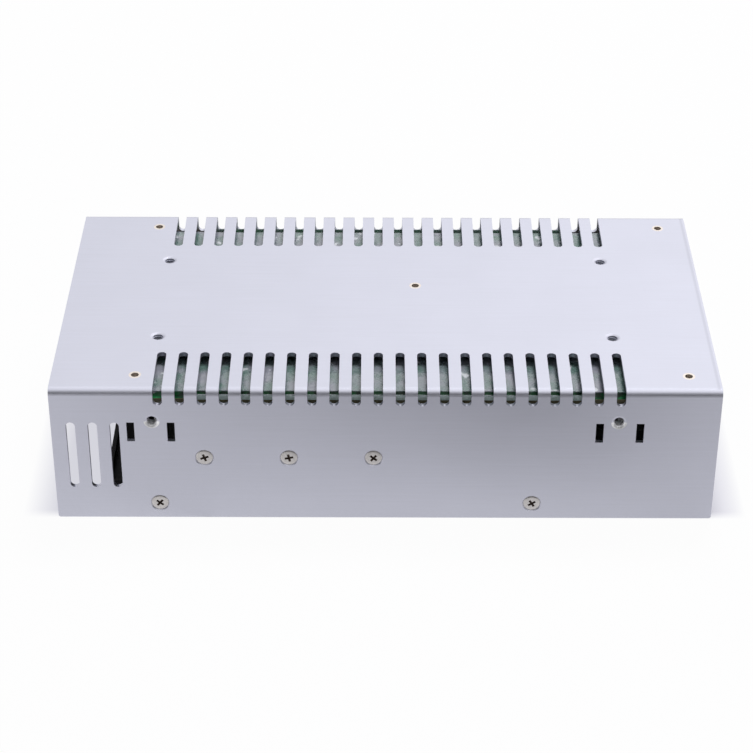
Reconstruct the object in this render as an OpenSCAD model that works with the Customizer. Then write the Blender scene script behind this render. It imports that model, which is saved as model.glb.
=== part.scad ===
// Enclosed switching power supply: a folded aluminium chassis, a perforated
// steel cover with its fan, and the converter board between them.
// It lies on its cover: the base plate is uppermost, at z = case_h, and the
// cover is at z = 0. X runs from the terminal end (-X) to the fan end (+X).

/* [Case] */
// Overall length, terminal end to fan end
case_l = 215; // [208:1:240]
// Overall width, over both side walls
case_w = 115; // [112:1:130]
// Overall height, base plate to cover
case_h = 50; // [48:1:60]
// Thickness of the chassis sheet
sheet_t = 1.5; // [1.2:0.1:2]
// Inside radius of the chassis bends
bend_ri = 0.8; // [0.5:0.1:2]

/* [Vent slots] */
// Slots along each long edge
slot_count = 22; // [10:1:23]
// Distance between neighbouring slots
slot_pitch = 7.05; // [6:0.05:7.2]
// Width of every vent slot
slot_w = 3; // [2:0.1:4]
// Reach of a slot across the base plate, from the side wall's face
slot_reach = 22.6; // [12:0.1:24]
// Reach of a slot down the side wall, from the base plate's face
slot_drop = 5.8; // [4:0.1:7]
// Offset of the slot row towards the fan end
slot_shift = 1.2; // [-3:0.1:3]
// Upright slots beside the terminals, in each side wall
end_slots = 3; // [1:1:3]
// Distance of the first upright slot's middle from the terminal end
end_slot_x = 6.3; // [5:0.1:7]
// Length of an upright slot
end_slot_l = 25.4; // [15:0.1:28]
// Height of an upright slot's middle above the cover side
end_slot_z = 24.8; // [20:0.1:27]

/* [Mounting holes] */
// Spacing of the base and side mounting holes along the case
mount_x = 150; // [140:1:155]
// Spacing of the base mounting holes across the case
mount_y = 50; // [40:1:60]
// Wall radius of a tapped mounting hole
mount_r = 1.65; // [1.5:0.05:2.1]
// Wall thickness of the collar drawn round a mounting hole
collar_t = 1.1; // [0.8:0.1:1.5]
// Depth of a mounting hole, sheet and collar together
collar_l = 3.6; // [2.5:0.1:4]
// Depth of a side mounting hole below the base plate
side_mount_z = 12; // [11:0.5:14]
// Width of the key slots beside a side mounting hole
key_w = 2.5; // [1.5:0.1:3]
// Height of the key slots
key_h = 7.3; // [5:0.1:8]
// Distance of a key slot from the mounting hole, along the case
key_x = 6.5; // [5.5:0.1:9]
// Depth of a key slot's middle below the base plate
key_z = 16.1; // [15.5:0.1:18]

/* [Cover] */
// Thickness of the cover sheet
cover_t = 1; // [0.8:0.1:1.2]
// Height of the cover's side flanges
flange_h = 11.5; // [10:0.5:13]
// Radius of a round hole in the perforation
perf_r = 2.25; // [1.5:0.05:2.5]
// Distance between neighbouring perforation holes
perf_pitch = 6.5; // [6:0.1:8]
// Plain border between the perforation and an edge
perf_edge = 4; // [3:0.5:8]
// Length of the open terminal recess, end of the case to cover
recess_l = 38; // [37.5:0.5:40]
// Height of the cover screws above the cover's face
cover_screw_z = 5.8; // [5:0.1:7]
// Distance of the near cover screws from the terminal end
cover_screw_x1 = 33.7; // [33:0.1:36]
// Distance of the far cover screws from the terminal end
cover_screw_x2 = 155.7; // [140:0.1:180]

/* [Fan] */
// Side of the square fan
fan_size = 60; // [58:1:62]
// Thickness of the fan
fan_t = 15; // [13:0.5:17]
// Spacing of the fan's screws
fan_holes = 50; // [49:0.5:51]
// Distance of the fan's axis from the fan end
fan_inset = 38; // [36:0.5:42]
// Radius of the fan's hub
hub_r = 12.5; // [11:0.5:14]
// Number of fan blades
blades = 7; // [5:1:9]
// Gap between the blade tips and the fan's duct
tip_gap = 0.6; // [0.4:0.1:1]
// Radius of the fan's shaft
shaft_r = 1.5; // [1:0.1:2]
// Running clearance of the shaft in its bearing
shaft_gap = 0.04; // [0.02:0.01:0.08]

/* [Circuit board] */
// Height of the board's standoffs
standoff_h = 4.1; // [4:0.1:5]
// Thickness of the board
board_t = 1.6; // [1.2:0.1:2]
// Gap between the board's long edges and the side walls
board_gap = 2.3; // [2:0.1:2.6]
// Distance of the board's edge from the terminal end
board_x1 = 19; // [18:0.5:19.5]
// Distance of the board's edge from the fan end
board_x2 = 4.5; // [3:0.5:6]
// Distance of the near standoffs from the terminal end
standoff_x1 = 27; // [25.5:0.1:28]
// Distance of the far standoffs from the fan end
standoff_x2 = 10; // [9:0.5:12]
// Distance of the standoffs from the case's sides
standoff_y = 9; // [8:0.1:9.5]
// Thickness of the insulating film
film_t = 0.3; // [0.2:0.05:0.5]

/* [Terminals] */
// Room kept beside each end of the terminal block, for the lamp and the trimmer
end_room = 11.6; // [11:0.1:14]
// Distance between neighbouring terminals
pole_pitch = 9.5; // [8.5:0.1:9.5]
// Depth of the terminal block, along the case
block_d = 14.6; // [13.5:0.1:15]
// Thickness of the walls between the terminals
barrier_t = 1.4; // [1:0.1:1.8]
// Distance of the terminal block's face from the terminal end
block_x = 21.7; // [21.5:0.1:22]
// Depth of the terminal deck below the barrier tops
deck_drop = 10; // [9:0.5:12]
// Thickness of the terminal lid
lid_t = 1.6; // [1.2:0.1:2]
// Overhang of the lid beyond the terminal block's face
lid_over = 6.6; // [4:0.1:9]
// Height of the lid above the cover's face
lid_z = 4.5; // [4:0.1:6]

/* [Power parts] */
// Spacing of the wall screws that hold a heat bar
bar_pitch = 27.4; // [26:0.1:29]
// Distance of the heat bars' middle from the terminal end
bar_x = 76.3; // [74:0.1:80]
// Height of the wall screws above the cover's face
bar_z = 23.8; // [22:0.1:25]
// Thickness of a heat bar
bar_t = 6; // [5:0.5:7]
// Height of a heat bar
bar_h = 18; // [16:0.5:20]
// Radius of the two reservoir capacitors
bulk_r = 12.5; // [10:0.5:13]
// Height of the reservoir capacitors
bulk_h = 35; // [30:1:37]
// Radius of the output capacitors
out_cap_r = 5.5; // [4.5:0.1:6]
// Height of the output capacitors
out_cap_h = 25; // [20:1:30]
// Width of the transformer's core, across the case
xfmr_w = 40; // [36:1:42]
// Height of the transformer's core
xfmr_h = 32; // [28:1:33]
// Thickness of the transformer's core, along the case
xfmr_d = 13; // [11:1:15]
// Outer radius of the output choke's ring
choke_r = 13; // [12:0.5:14]
// Height of the output choke's ring
choke_h = 13; // [10:0.5:15]
// Turns on the output choke
choke_turns = 16; // [12:1:18]
// Outer radius of the mains filter's ring
filter_r = 9.5; // [8:0.5:10]

/* [Controls] */
// Side of the voltage trimmer's body
trim_w = 7; // [6:0.1:7.5]
// Width of the voltage selector's window, along the case
window_l = 13; // [12.5:0.1:15]
// Height of the voltage selector's window
window_h = 7; // [6:0.1:8]
// Travel of the voltage selector's slider
sel_travel = 5.5; // [4:0.1:6]
// Distance of the voltage selector from the fan end
sel_inset = 57; // [55:0.5:62]

/* [Hidden] */

$fn = 48;
eps = 0.01;
touch = 0.3;      // gap between pieces that nearly meet
seat = 0.05;      // gap of a part in its seat

// Levels, from the base plate down to the cover
xl = -case_l / 2;
xr = case_l / 2;
yw = case_w / 2;
y_in = yw - sheet_t;                  // inner face of a side wall
z_in = case_h - sheet_t;              // inner face of the base plate
z_solder = z_in - standoff_h;         // solder face of the board
z_parts = z_solder - board_t;         // component face of the board
bend_ro = bend_ri + sheet_t;
corner_r = 0.8;                       // round corners of the side walls' free edges

// Fasteners: M3 countersunk and pan heads
m3_r = 1.5;
m3_tap_r = 1.55;
csk_r = 2.8;
csk_gap = 0.3;                        // gap round a head in its seat
csk_h = 1.45;
csk_sink = 0.1;
pan_r = 2.75;
pan_h = 2.2;
cross_l = 3.2;
cross_w = 0.75;
cross_h = 1.1;

// Circuit board
bx1 = xl + board_x1;
bx2 = xr - board_x2;
by = y_in - board_gap;
standoff_r = 2.6;
rivet_r = 2;
bore_r = 1.25;
mid_standoff = [117.8, 8];            // from the terminal end, and off the middle
standoffs_at = [
    for (s = [-1, 1]) [xl + standoff_x1, s * (yw - standoff_y)],
    for (s = [-1, 1]) [xr - standoff_x2, s * (yw - standoff_y)],
    [xl + mid_standoff[0], mid_standoff[1]]
];
joint_r = 1.15;
joint_h = 1.1;
mount_mouth = 0.95;                   // rounded mouth of a drawn mounting hole, radially
mount_dip = 0.45;                     // and its depth
mouth_arc = (mount_mouth * mount_mouth + mount_dip * mount_dip) / (2 * mount_dip);
key_out = 0.45;                       // how far the key slots sit outwards of the hole

// Insulating film
film_z = z_solder + joint_h + touch;
film_y = by - 1.8;
fold_gap = 0.1;                       // between a flap and the board's edge
fold_y = by + fold_gap + film_t;
fold_slit = 2.2;                      // perforations along the fold
flap_h = 1.9;
film_x1 = slot_shift - 9 * slot_pitch;
film_x2 = slot_shift + 9 * slot_pitch;

// Terminal block and lid
tx1 = xl + block_x;
tx2 = tx1 + block_d;
poles = floor((2 * (y_in - end_room) - barrier_t) / pole_pitch);
block_w = poles * pole_pitch + barrier_t;
lid_top = lid_z + lid_t;
barrier_z = lid_top + touch;
deck_z = barrier_z + deck_drop;
plate_t = 0.8;
clamp_t = 1;
term_r = 1.6;
pin_r = 0.9;
barrel_r = 1.5;
ear_t = 2.2;
ear_r = 2.4;
hinge_x = tx2 - ear_r + 0.6;
hinge_z = lid_z + barrel_r;
lid_x1 = tx1 - lid_over;
lid_wide = min(block_w / 2 + ear_t + 2.8, y_in - 6);
poles_at = [for (i = [0 : poles - 1]) (i - (poles - 1) / 2) * pole_pitch];

// Cover
cover_x = xl + recess_l;
cover_y = y_in - 0.2;
cover_ro = cover_t + 0.6;
tab_x = xl + 28.5;
relief = 3.2;
cover_screws_at = [xl + cover_screw_x1, xl + cover_screw_x2];
collar_out = 1.4;

// Fan
fan_x = xr - fan_inset;
duct_r = fan_size / 2 - 1.6;
fan_z1 = cover_t + fan_t;
fan_wall = 1.2;
fan_flange = 3;
fan_corner = 5;
fan_hole_r = 2.1;
rotor_z1 = cover_t + 1.2;
rotor_h = fan_t - 5.5;
blade_pitch = 38;
blade_camber = 17;
blade_t = 1.1;
strut_w = 4.4;
strut_h = 2.4;
stator_z = 5.2;
stator_gap = 1.8;

// Heat bars and the devices on them
bx0 = xl + bar_x;
bar_l = 2 * bar_pitch + 16;
pad_t = 0.4;
device = [15.6, 5, 20];
device_x = [bx0 - bar_pitch / 2, bx0 + bar_pitch / 2];
device_y = y_in - bar_t - pad_t;
leg_pitch = 5.4;

// Voltage selector
sel_x = xr - sel_inset;
sel_z = case_h / 2;
sel_plate = [36, 12.6, 0.8];
sel_body = [window_l + 6, window_h + 4.5, 9];
sel_pitch = 29;
knob_l = window_l - sel_travel - 1;

// Places of the parts on the board, each chained to its neighbour and to the walls
gap = 2;
lane_y = -(device_y - device[1] - pan_h - 1.5);          // front edge of the board's middle
fuse_l = 20;
fuse_r = 2.5;
clip_w = 7;
fuse_x = tx2 + 3 + fuse_l / 2;
fuse_y = lane_y + clip_w / 2;
filter_x = fuse_x + 0.5;
filter_h = 8;
filter_wire = 1;
filter_box = 2 * filter_r + 2 * filter_wire + 3;
filter_y = fuse_y + clip_w / 2 + gap + filter_box / 2;
film_cap = [9, 18, 16];
film_cap_x = filter_x + filter_box / 2 + gap + film_cap[0] / 2;
film_cap_y = filter_y;
bulk_y = lane_y + bulk_r + 1;
bulk_x = [film_cap_x + film_cap[0] / 2 + gap + bulk_r,
    film_cap_x + film_cap[0] / 2 + 2 * gap + 3 * bulk_r];
out_cap_y = filter_y + filter_box / 2 + gap + out_cap_r;
out_cap_x = tx2 + 3 + out_cap_r;
out_caps = [for (i = [0 : 2]) [out_cap_x, out_cap_y + i * (2 * out_cap_r + 1.2)]];
choke_wire = 1.5;
turn_gap = 0.08;                      // gap between a ring core and its turns
choke_x = out_cap_x + out_cap_r + gap + choke_r + choke_wire;
choke_y = filter_y + filter_box / 2 + gap + choke_r + choke_wire;
choke_ri = choke_r * 0.55;
winding_d = xfmr_d + 14;
bobbin_d = winding_d + 4;
core_back = 6.5;
leg_w = 7;
centre_leg = 12;
xfmr_lift = 3.4;
xfmr_x = choke_x + choke_r + choke_wire + gap + bobbin_d / 2;
xfmr_y = bulk_y + bulk_r + gap + xfmr_w / 2;
window_z = xfmr_h - 2 * core_back;
window_x = (xfmr_w - 2 * leg_w - centre_leg) / 2;
drive = [16, 19, 14];
drive_at = [standoffs_at[4][0] + standoff_r + gap + drive[0] / 2, xfmr_y];

// Low parts that sit under the fan, from the fan's near edge and the board's long edges
low_x = fan_x - fan_size / 2 + 2;
bridge = [3.6, 22, 17];
bridge_at = [max(low_x, bulk_x[1] + bulk_r + 5), bulk_y + 2];
bridge_lift = 3;
sink = [1.5, 26, 19];
ntc_at = [bridge_at[0] + 12, bulk_y - 8];
ntc_r = 6.5;
ntc_t = 4.2;
ntc_lift = 1.7;
chip = [20, 6.4, 3.3];
chips_at = [[low_x + 26, 6], [low_x + 26, 18]];
small_caps = [
    [low_x + 42, lane_y + 11, 4, 12], [low_x + 42, lane_y + 22, 4, 12], [low_x + 42, lane_y + 33, 4, 12],
    [low_x + 9, by - 20.5, 5, 16], [low_x + 19, by - 20.5, 4, 12], [low_x + 46, 8, 3.2, 9]];
discs = [[low_x + 34, 14.5 - by], [low_x + 46, 10.5 - by]];
disc_r = 4.5;
disc_t = 3;
disc_lift = 2.2;
big_res = [[low_x + 16, by - 6.5], [low_x + 16, 6.5 - by]];
big_res_l = 16.8;
res_at = [for (i = [0 : 5]) [low_x + 34 + 5 * i, by - 16.5]];
wire_r = 0.6;
lead_bend = 4;
lead_y = hub_r - 5;                   // hole of the leads in the motor seat
pin_pitch = 2.5;
header_at = [fan_x, fan_size / 2 + lead_bend + 2];
header = [7.6, 5.8, 8];
plug_l = 12.2;
plug_in = 2.2;
plug_bore = 8.5;
led_at = [tx2 - 3.5, -(yw - standoff_y)];
trim_at = [tx2 - 2, yw - standoff_y];
led_r = 1.5;

function pair(x, y, d, turn = 0) = [for (s = [-1, 1])
    [x + s * d / 2 * cos(turn), y + s * d / 2 * sin(turn)]];
// Height of a standing disc's rim over its legs, 2.5 mm to each side of its middle
function rim(r, lift) = lift + r - sqrt(r * r - 2.1 * 2.1) - seat / 2;
function flat(lists) = [for (l = lists) for (p = l) p];

// Every soldered pin, as [x, y]
short_pins = concat(
    flat([for (c = bulk_x) pair(c, bulk_y, 10)]),
    flat([for (c = out_caps) pair(c[0], c[1], 5)]),
    flat([for (c = small_caps) pair(c[0], c[1], c[2])]),
    pair(film_cap_x, film_cap_y, 15, 90),
    flat([for (c = chips_at, i = [0 : 7], s = [-1, 1])
        [[c[0] + (i - 3.5) * 2.54, c[1] + s * 3.81]]]),
    [for (i = [0 : 3], s = [-1, 1]) [xfmr_x + s * (bobbin_d / 2 - 1.5), xfmr_y + (i - 1.5) * 5]],
    [for (i = [0 : 2], s = [-1, 1]) [drive_at[0] + s * (drive[0] / 2 - 2), drive_at[1] + (i - 1) * 5]],
    flat([for (s = [-1, 1]) pair(choke_x, choke_y + s * 6, 2 * choke_r + choke_wire)]),
    flat([for (s = [-1, 1]) pair(filter_x + s * 6, filter_y, 12, 90)]),
    flat([for (s = [-1, 1]) pair(fuse_x + s * (fuse_l / 2 - 2.5), fuse_y, 4, 90)]),
    pair(header_at[0], header_at[1], pin_pitch),
    pair(trim_at[0], trim_at[1], 5),
    [for (y = poles_at) [tx2 - 3.2, y]]
);
raised = concat(
    flat([for (x = device_x, s = [-1, 1], i = [-1 : 1])
        [[x + i * leg_pitch, s * (device_y - 2.4)]]]),
    [for (i = [0 : 3]) [bridge_at[0], bridge_at[1] + (i - 1.5) * 5]],
    flat([for (c = discs) pair(c[0], c[1], 5, 90)]),
    pair(ntc_at[0], ntc_at[1], 5, 90),
    flat([for (c = big_res) pair(c[0], c[1], 22)]),
    flat([for (c = res_at) pair(c[0], c[1], 11, 90)]),
    pair(led_at[0], led_at[1], 2.54, 90)
);

// Shapes used by several parts

// Rectangle with true round corners
module round_rect(w, h, r) {
    square([w - 2 * r, h], center = true);
    square([w, h - 2 * r], center = true);
    for (x = [-1, 1], y = [-1, 1]) translate([x * (w / 2 - r), y * (h / 2 - r)]) circle(r);
}

// Slot with round ends, of overall length l along Y
module stadium(w, l) {
    square([w, l - w], center = true);
    for (s = [-1, 1]) translate([0, s * (l - w) / 2]) circle(w / 2);
}

// Puts a part on the board, with its own +Z pointing away from the board
module on_board(at) translate([at[0], at[1], z_parts]) mirror([0, 0, 1]) children();

// Puts a part on a side wall's outer face, with its own +Z pointing outwards
module on_wall(x, z, side) translate([x, side * yw, z]) rotate([-90 * side, 0, 0]) children();

module cross_recess() {
    for (a = [0, 90]) rotate(a) translate([-cross_l / 2, -cross_w / 2, -cross_h])
        cube([cross_l, cross_w, cross_h + 1]);
}

// Countersunk screw: the head's face lies just under z = 0, the shank points down
module csk_screw(l) {
    difference() {
        union() {
            translate([0, 0, -csk_sink - csk_h]) cylinder(r1 = m3_r, r2 = csk_r, h = csk_h);
            translate([0, 0, -l]) cylinder(r = m3_r, h = l - csk_sink - csk_h + eps);
        }
        translate([0, 0, -csk_sink]) cross_recess();
    }
}

module csk_hole(depth) {
    translate([0, 0, -depth - 1]) cylinder(r = m3_tap_r, h = depth + 2);
    translate([0, 0, -csk_sink - csk_h])
        cylinder(r1 = m3_tap_r, r2 = csk_r + csk_gap, h = csk_sink + csk_h + eps);
}

// Pan-head screw: the underside of the head is at z = 0, the shank points down
module pan_screw(l, r = m3_r) {
    difference() {
        union() {
            rotate_extrude() intersection() {
                translate([0, pan_h - 4.6]) circle(4.6);
                square([pan_r, pan_h]);
            }
            translate([0, 0, -l]) cylinder(r = r, h = l + eps);
        }
        translate([0, 0, pan_h]) cross_recess();
    }
}

// ---- Case ----

// Folded U in the YZ plane, the base plate on top
module chassis_profile() {
    difference() {
        union() {
            translate([0, case_h / 2 - bend_ro / 2]) square([case_w, case_h - bend_ro], center = true);
            translate([0, case_h - bend_ro]) square([case_w - 2 * bend_ro, 2 * bend_ro], center = true);
            for (s = [-1, 1]) translate([s * (yw - bend_ro), case_h - bend_ro]) circle(bend_ro);
        }
        translate([0, (z_in - bend_ri) / 2 - 1]) square([2 * y_in, z_in - bend_ri + 2], center = true);
        translate([0, z_in - bend_ri]) square([2 * (y_in - bend_ri), 2 * bend_ri], center = true);
        for (s = [-1, 1]) translate([s * (y_in - bend_ri), z_in - bend_ri]) circle(bend_ri);
    }
}

// One vent slot that wraps round the bend, cut at x = 0 on the +Y side
module wrap_slot() {
    round_z = case_h - slot_drop + slot_w / 2;
    round_y = yw - slot_reach + slot_w / 2;
    translate([-slot_w / 2, round_y, z_in - bend_ri - eps]) cube([slot_w, slot_reach, 4]);
    translate([0, round_y, z_in - 1]) cylinder(d = slot_w, h = 4);
    translate([-slot_w / 2, y_in - bend_ri - eps, round_z]) cube([slot_w, 4, slot_drop]);
    translate([0, y_in - 1, round_z]) rotate([-90, 0, 0]) cylinder(d = slot_w, h = 4);
}

// What is cut off one free corner of a side wall, with the corner at the origin
module corner_waste() {
    difference() {
        translate([-1, -1]) square(corner_r + 1);
        translate([corner_r, corner_r]) circle(corner_r);
    }
}

module tapped_collar() {
    translate([0, 0, -collar_l]) cylinder(r = mount_r + collar_t, h = collar_l - sheet_t + eps);
}

module tapped_hole() {
    translate([0, 0, -collar_l - 1]) cylinder(r = mount_r, h = collar_l + 2);
    rotate_extrude() difference() {
        translate([0, -2 * mount_dip]) square([mount_r + mount_mouth, 3 * mount_dip]);
        translate([mount_r + mount_mouth, -mouth_arc]) circle(mouth_arc);
    }
}

module at_mounts() {
    for (x = [-1, 1], y = [-1, 1])
        translate([x * mount_x / 2, y * mount_y / 2, case_h]) children();
    for (x = [-1, 1], s = [-1, 1])
        on_wall(x * mount_x / 2, case_h - side_mount_z, s) children();
}

module chassis() {
    color([0.80, 0.81, 0.85]) difference() {
        union() {
            translate([xl, 0, 0]) rotate([90, 0, 90]) linear_extrude(case_l) chassis_profile();
            at_mounts() tapped_collar();
        }
        at_mounts() tapped_hole();
        for (m = [0, 1]) mirror([m, 0, 0]) translate([xl, 0, 0]) rotate([90, 0, 0])
            linear_extrude(case_w + 2, center = true) corner_waste();
        for (i = [0 : slot_count - 1], s = [0, 1])
            mirror([0, s, 0])
                translate([slot_shift + (i - (slot_count - 1) / 2) * slot_pitch, 0, 0]) wrap_slot();
        for (i = [0 : end_slots - 1])
            translate([xl + end_slot_x + slot_pitch * i, 0, end_slot_z]) rotate([90, 0, 0])
                linear_extrude(case_w + 2, center = true) stadium(slot_w, end_slot_l);
        for (m = [-1, 1], s = [-1, 1])
            translate([m * (mount_x / 2 + key_out) + s * key_x, 0, case_h - key_z])
                cube([key_w, case_w + 2, key_h], center = true);
        for (x = cover_screws_at, s = [-1, 1]) on_wall(x, cover_screw_z, s) csk_hole(sheet_t);
        for (i = [-1 : 1], s = [-1, 1]) on_wall(bx0 + i * bar_pitch, bar_z, s) csk_hole(sheet_t);
        for (p = standoffs_at) translate([p[0], p[1], z_in - 1]) cylinder(r = rivet_r, h = sheet_t + 2);
        translate([sel_x, yw, sel_z]) cube([window_l, 3 * sheet_t, window_h], center = true);
        for (s = [-1, 1]) on_wall(sel_x + s * sel_pitch / 2, sel_z, 1) csk_hole(sheet_t);
    }
}

// Centres of a staggered hole pattern that fills a box of size w by h about the origin
function stagger(w, h) = let (row = perf_pitch * sqrt(3) / 2,
        nx = floor(w / perf_pitch), ny = floor(h / row))
    [for (j = [0 : ny], i = [0 : nx - (j % 2)])
        [(i - (nx - (j % 2)) / 2) * perf_pitch, (j - ny / 2) * row]];

module fan_grille() {
    rings = 4;
    web = 2;
    inner = 6;
    step = (duct_r - 1 - inner + web) / rings;
    difference() {
        for (i = [0 : rings - 1]) difference() {
            circle(inner + (i + 1) * step - web);
            circle(inner + i * step);
        }
        for (a = [45, 135]) rotate(a) square([2 * duct_r, 2.4], center = true);
    }
}

// Flat pattern of the cover's face: outline, perforation and fan grille
module cover_face() {
    face_l = xr - cover_x;
    mid = (xr + cover_x) / 2;
    keep = fan_size / 2 + perf_r + 1.5;
    difference() {
        translate([mid - cover_ro / 2, 0])
            square([face_l - cover_ro, 2 * (cover_y - cover_ro)], center = true);
        for (p = stagger(face_l - 2 * perf_edge - 2 * perf_r, 2 * (cover_y - perf_edge - perf_r) - 2))
            if (max(abs(p[0] + mid - fan_x), abs(p[1])) > keep)
                translate([p[0] + mid, p[1]]) circle(perf_r, $fn = 24);
        translate([fan_x, 0]) fan_grille();
    }
}

// End flap's flat pattern, in the YZ plane
module flap_face() {
    top = z_in - touch;
    difference() {
        translate([0, (top + cover_ro) / 2]) square([2 * (cover_y - touch), top - cover_ro], center = true);
        translate([0, (top + cover_ro) / 2])
            for (p = stagger(2 * (cover_y - perf_edge - perf_r), top - cover_ro - 2 * (perf_edge + perf_r)))
                translate(p) circle(perf_r, $fn = 24);
    }
}

// Quarter ring that joins two walls of the cover, centred on the bend's axis
module cover_bend(l) {
    linear_extrude(l) intersection() {
        difference() {
            circle(cover_ro);
            circle(cover_ro - cover_t);
        }
        translate([0, -cover_ro]) square(cover_ro);
    }
}

module cover_flange_half() {
    x2 = xr - relief;
    difference() {
        union() {
            translate([cover_x, cover_y - cover_ro, cover_ro]) rotate([90, 0, 90]) cover_bend(x2 - cover_x);
            translate([tab_x, cover_y - cover_t, cover_ro])
                cube([x2 - tab_x, cover_t, flange_h - cover_ro]);
            for (x = cover_screws_at) translate([x, cover_y - cover_t - collar_out, cover_screw_z])
                rotate([-90, 0, 0]) cylinder(r = m3_tap_r + 0.8, h = collar_out + eps);
        }
        for (x = cover_screws_at) translate([x, cover_y - 5, cover_screw_z])
            rotate([-90, 0, 0]) cylinder(r = m3_tap_r, h = 10);
    }
}

module mesh_cover() {
    color([0.72, 0.73, 0.75]) difference() {
        union() {
            linear_extrude(cover_t) cover_face();
            for (s = [0, 1]) mirror([0, s, 0]) cover_flange_half();
            translate([xr - cover_t, 0, 0]) rotate([90, 0, 90]) linear_extrude(cover_t) flap_face();
            translate([xr - cover_ro, cover_y - touch, cover_ro]) rotate([90, 0, 0])
                cover_bend(2 * (cover_y - touch));
        }
        for (x = [-1, 1], y = [-1, 1])
            translate([fan_x + x * fan_holes / 2, y * fan_holes / 2, 0]) mirror([0, 0, 1])
                csk_hole(cover_t);
    }
}

module cover_screws() {
    color("silver") for (x = cover_screws_at, s = [-1, 1]) on_wall(x, cover_screw_z, s) csk_screw(5);
}

// ---- Board and its carriers ----

module standoffs() {
    color([0.78, 0.62, 0.32]) for (p = standoffs_at) translate([p[0], p[1], z_solder]) difference() {
        union() {
            cylinder(r = standoff_r, h = standoff_h);
            cylinder(r = rivet_r, h = standoff_h + sheet_t);
        }
        translate([0, 0, -1]) cylinder(r = bore_r, h = standoff_h + sheet_t + 2);
        translate([0, 0, -1]) cylinder(r = m3_tap_r, h = standoff_h);
    }
}

// Section of a flap that hangs down beside the board's edge, in the YZ plane
module film_flap() {
    translate([fold_y - film_t, film_z + film_t - flap_h]) square([film_t, flap_h]);
}

// Film over the solder side, with flaps along the slots
module insulating_film() {
    l = film_x2 - film_x1;
    mid = (film_x1 + film_x2) / 2;
    color([0.83, 0.87, 0.86, 0.8]) difference() {
        union() {
            translate([(bx1 + bx2) / 2, 0, film_z + film_t / 2])
                cube([bx2 - bx1, 2 * film_y, film_t], center = true);
            translate([mid, 0, film_z + film_t / 2]) cube([l, 2 * fold_y, film_t], center = true);
            for (s = [0, 1]) mirror([0, s, 0]) translate([film_x1, 0, 0]) rotate([90, 0, 90])
                linear_extrude(l) film_flap();
        }
        for (p = standoffs_at) translate([p[0], p[1], film_z - 1]) cylinder(r = standoff_r + touch, h = 3);
        for (i = [0 : 17], s = [-1, 1])
            translate([mid + (i - 8.5) * slot_pitch, s * (fold_y - film_t - fold_slit / 2), film_z])
                cube([slot_pitch - 1.6, fold_slit, 2], center = true);
    }
}

module circuit_board() {
    color([0.10, 0.38, 0.22]) difference() {
        union() {
            translate([bx1, -by, z_parts]) cube([bx2 - bx1, 2 * by, board_t]);
            for (p = concat(short_pins, raised)) translate([p[0], p[1], z_solder - eps])
                cylinder(r1 = joint_r, r2 = joint_r * 0.4, h = joint_h, $fn = 16);
        }
        for (p = standoffs_at) translate([p[0], p[1], z_parts - 1]) cylinder(r = m3_tap_r, h = board_t + 3);
    }
}

module board_screws() {
    color("silver") for (p = standoffs_at) on_board(p) pan_screw(board_t + standoff_h - 1.2);
}

// Bare wire legs of the parts that stand off the board
module component_leads() {
    color([0.80, 0.80, 0.78]) {
        for (c = discs) for (p = pair(c[0], c[1], 5, 90)) on_board(p)
            cylinder(r = 0.35, h = rim(disc_r, disc_lift), $fn = 16);
        for (p = pair(ntc_at[0], ntc_at[1], 5, 90)) on_board(p)
            cylinder(r = 0.4, h = rim(ntc_r, ntc_lift), $fn = 16);
        for (i = [0 : 3]) on_board([bridge_at[0], bridge_at[1] + (i - 1.5) * 5])
            cylinder(r = 0.5, h = bridge_lift, $fn = 16);
        for (p = pair(led_at[0], led_at[1], 2.54, 90)) on_board(p) cylinder(r = 0.25, h = 20, $fn = 16);
        for (x = device_x, s = [-1, 1], i = [-1 : 1])
            on_board([x + i * leg_pitch, s * (device_y - 2.4)])
                translate([-0.6, -0.3, 0]) cube([1.2, 0.6, z_parts - bar_z - device[2] / 2]);
        for (c = big_res, s = [-1, 1]) on_board([c[0] + s * 11, c[1]]) bent_lead(s, 2.6, 4);
        for (c = res_at, s = [-1, 1]) on_board([c[0], c[1] + s * 5.5]) rotate(90) bent_lead(s, 2.3, 2.2);
    }
}

// Lead that rises h from the board and turns inwards, towards a part lying at the origin side
module bent_lead(side, inward, h) {
    cylinder(r = 0.35, h = h + 0.35, $fn = 16);
    translate([-side * inward / 2, 0, h]) rotate([0, 90, 0])
        cylinder(r = 0.3, h = inward, center = true, $fn = 16);
}

// ---- Terminals ----

module terminal_block() {
    h = z_parts - barrier_z;
    color([0.06, 0.06, 0.07]) difference() {
        union() {
            translate([tx1, -block_w / 2, barrier_z]) cube([block_d, block_w, h]);
            for (s = [-1, 1]) translate([0, s * (block_w / 2 + ear_t / 2), 0]) hinge_ear();
        }
        for (y = poles_at) {
            // cell that is open at the front, towards the wires
            translate([tx1 - 1, y - (pole_pitch - barrier_t) / 2, barrier_z - 1])
                cube([block_d - 1, pole_pitch - barrier_t, deck_drop + 1]);
            translate([tx1 + 5.6, y, deck_z - 1]) cylinder(r = term_r + seat, h = 8.5);
            translate([tx2 - 3.2 - 0.55, y - 2.1, deck_z - 1]) cube([1.1, 4.2, z_parts - deck_z + 2]);
            translate([tx1 - 1, y - 2.6, deck_z + 9]) cube([4, 5.2, z_parts - deck_z - 12]);
        }
        // seat of the lid's barrel along the top of the back wall
        translate([hinge_x, 0, hinge_z]) rotate([90, 0, 0])
            cylinder(r = barrel_r + touch, h = block_w, center = true);
        translate([hinge_x, 0, hinge_z]) rotate([90, 0, 0])
            cylinder(r = pin_r + seat, h = block_w + 2 * ear_t + 2, center = true);
    }
}

module hinge_ear() {
    translate([hinge_x, 0, hinge_z]) rotate([90, 0, 0]) cylinder(r = ear_r, h = ear_t, center = true);
    translate([hinge_x - ear_r, -ear_t / 2, hinge_z]) cube([2 * ear_r, ear_t, 14]);
}

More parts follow.
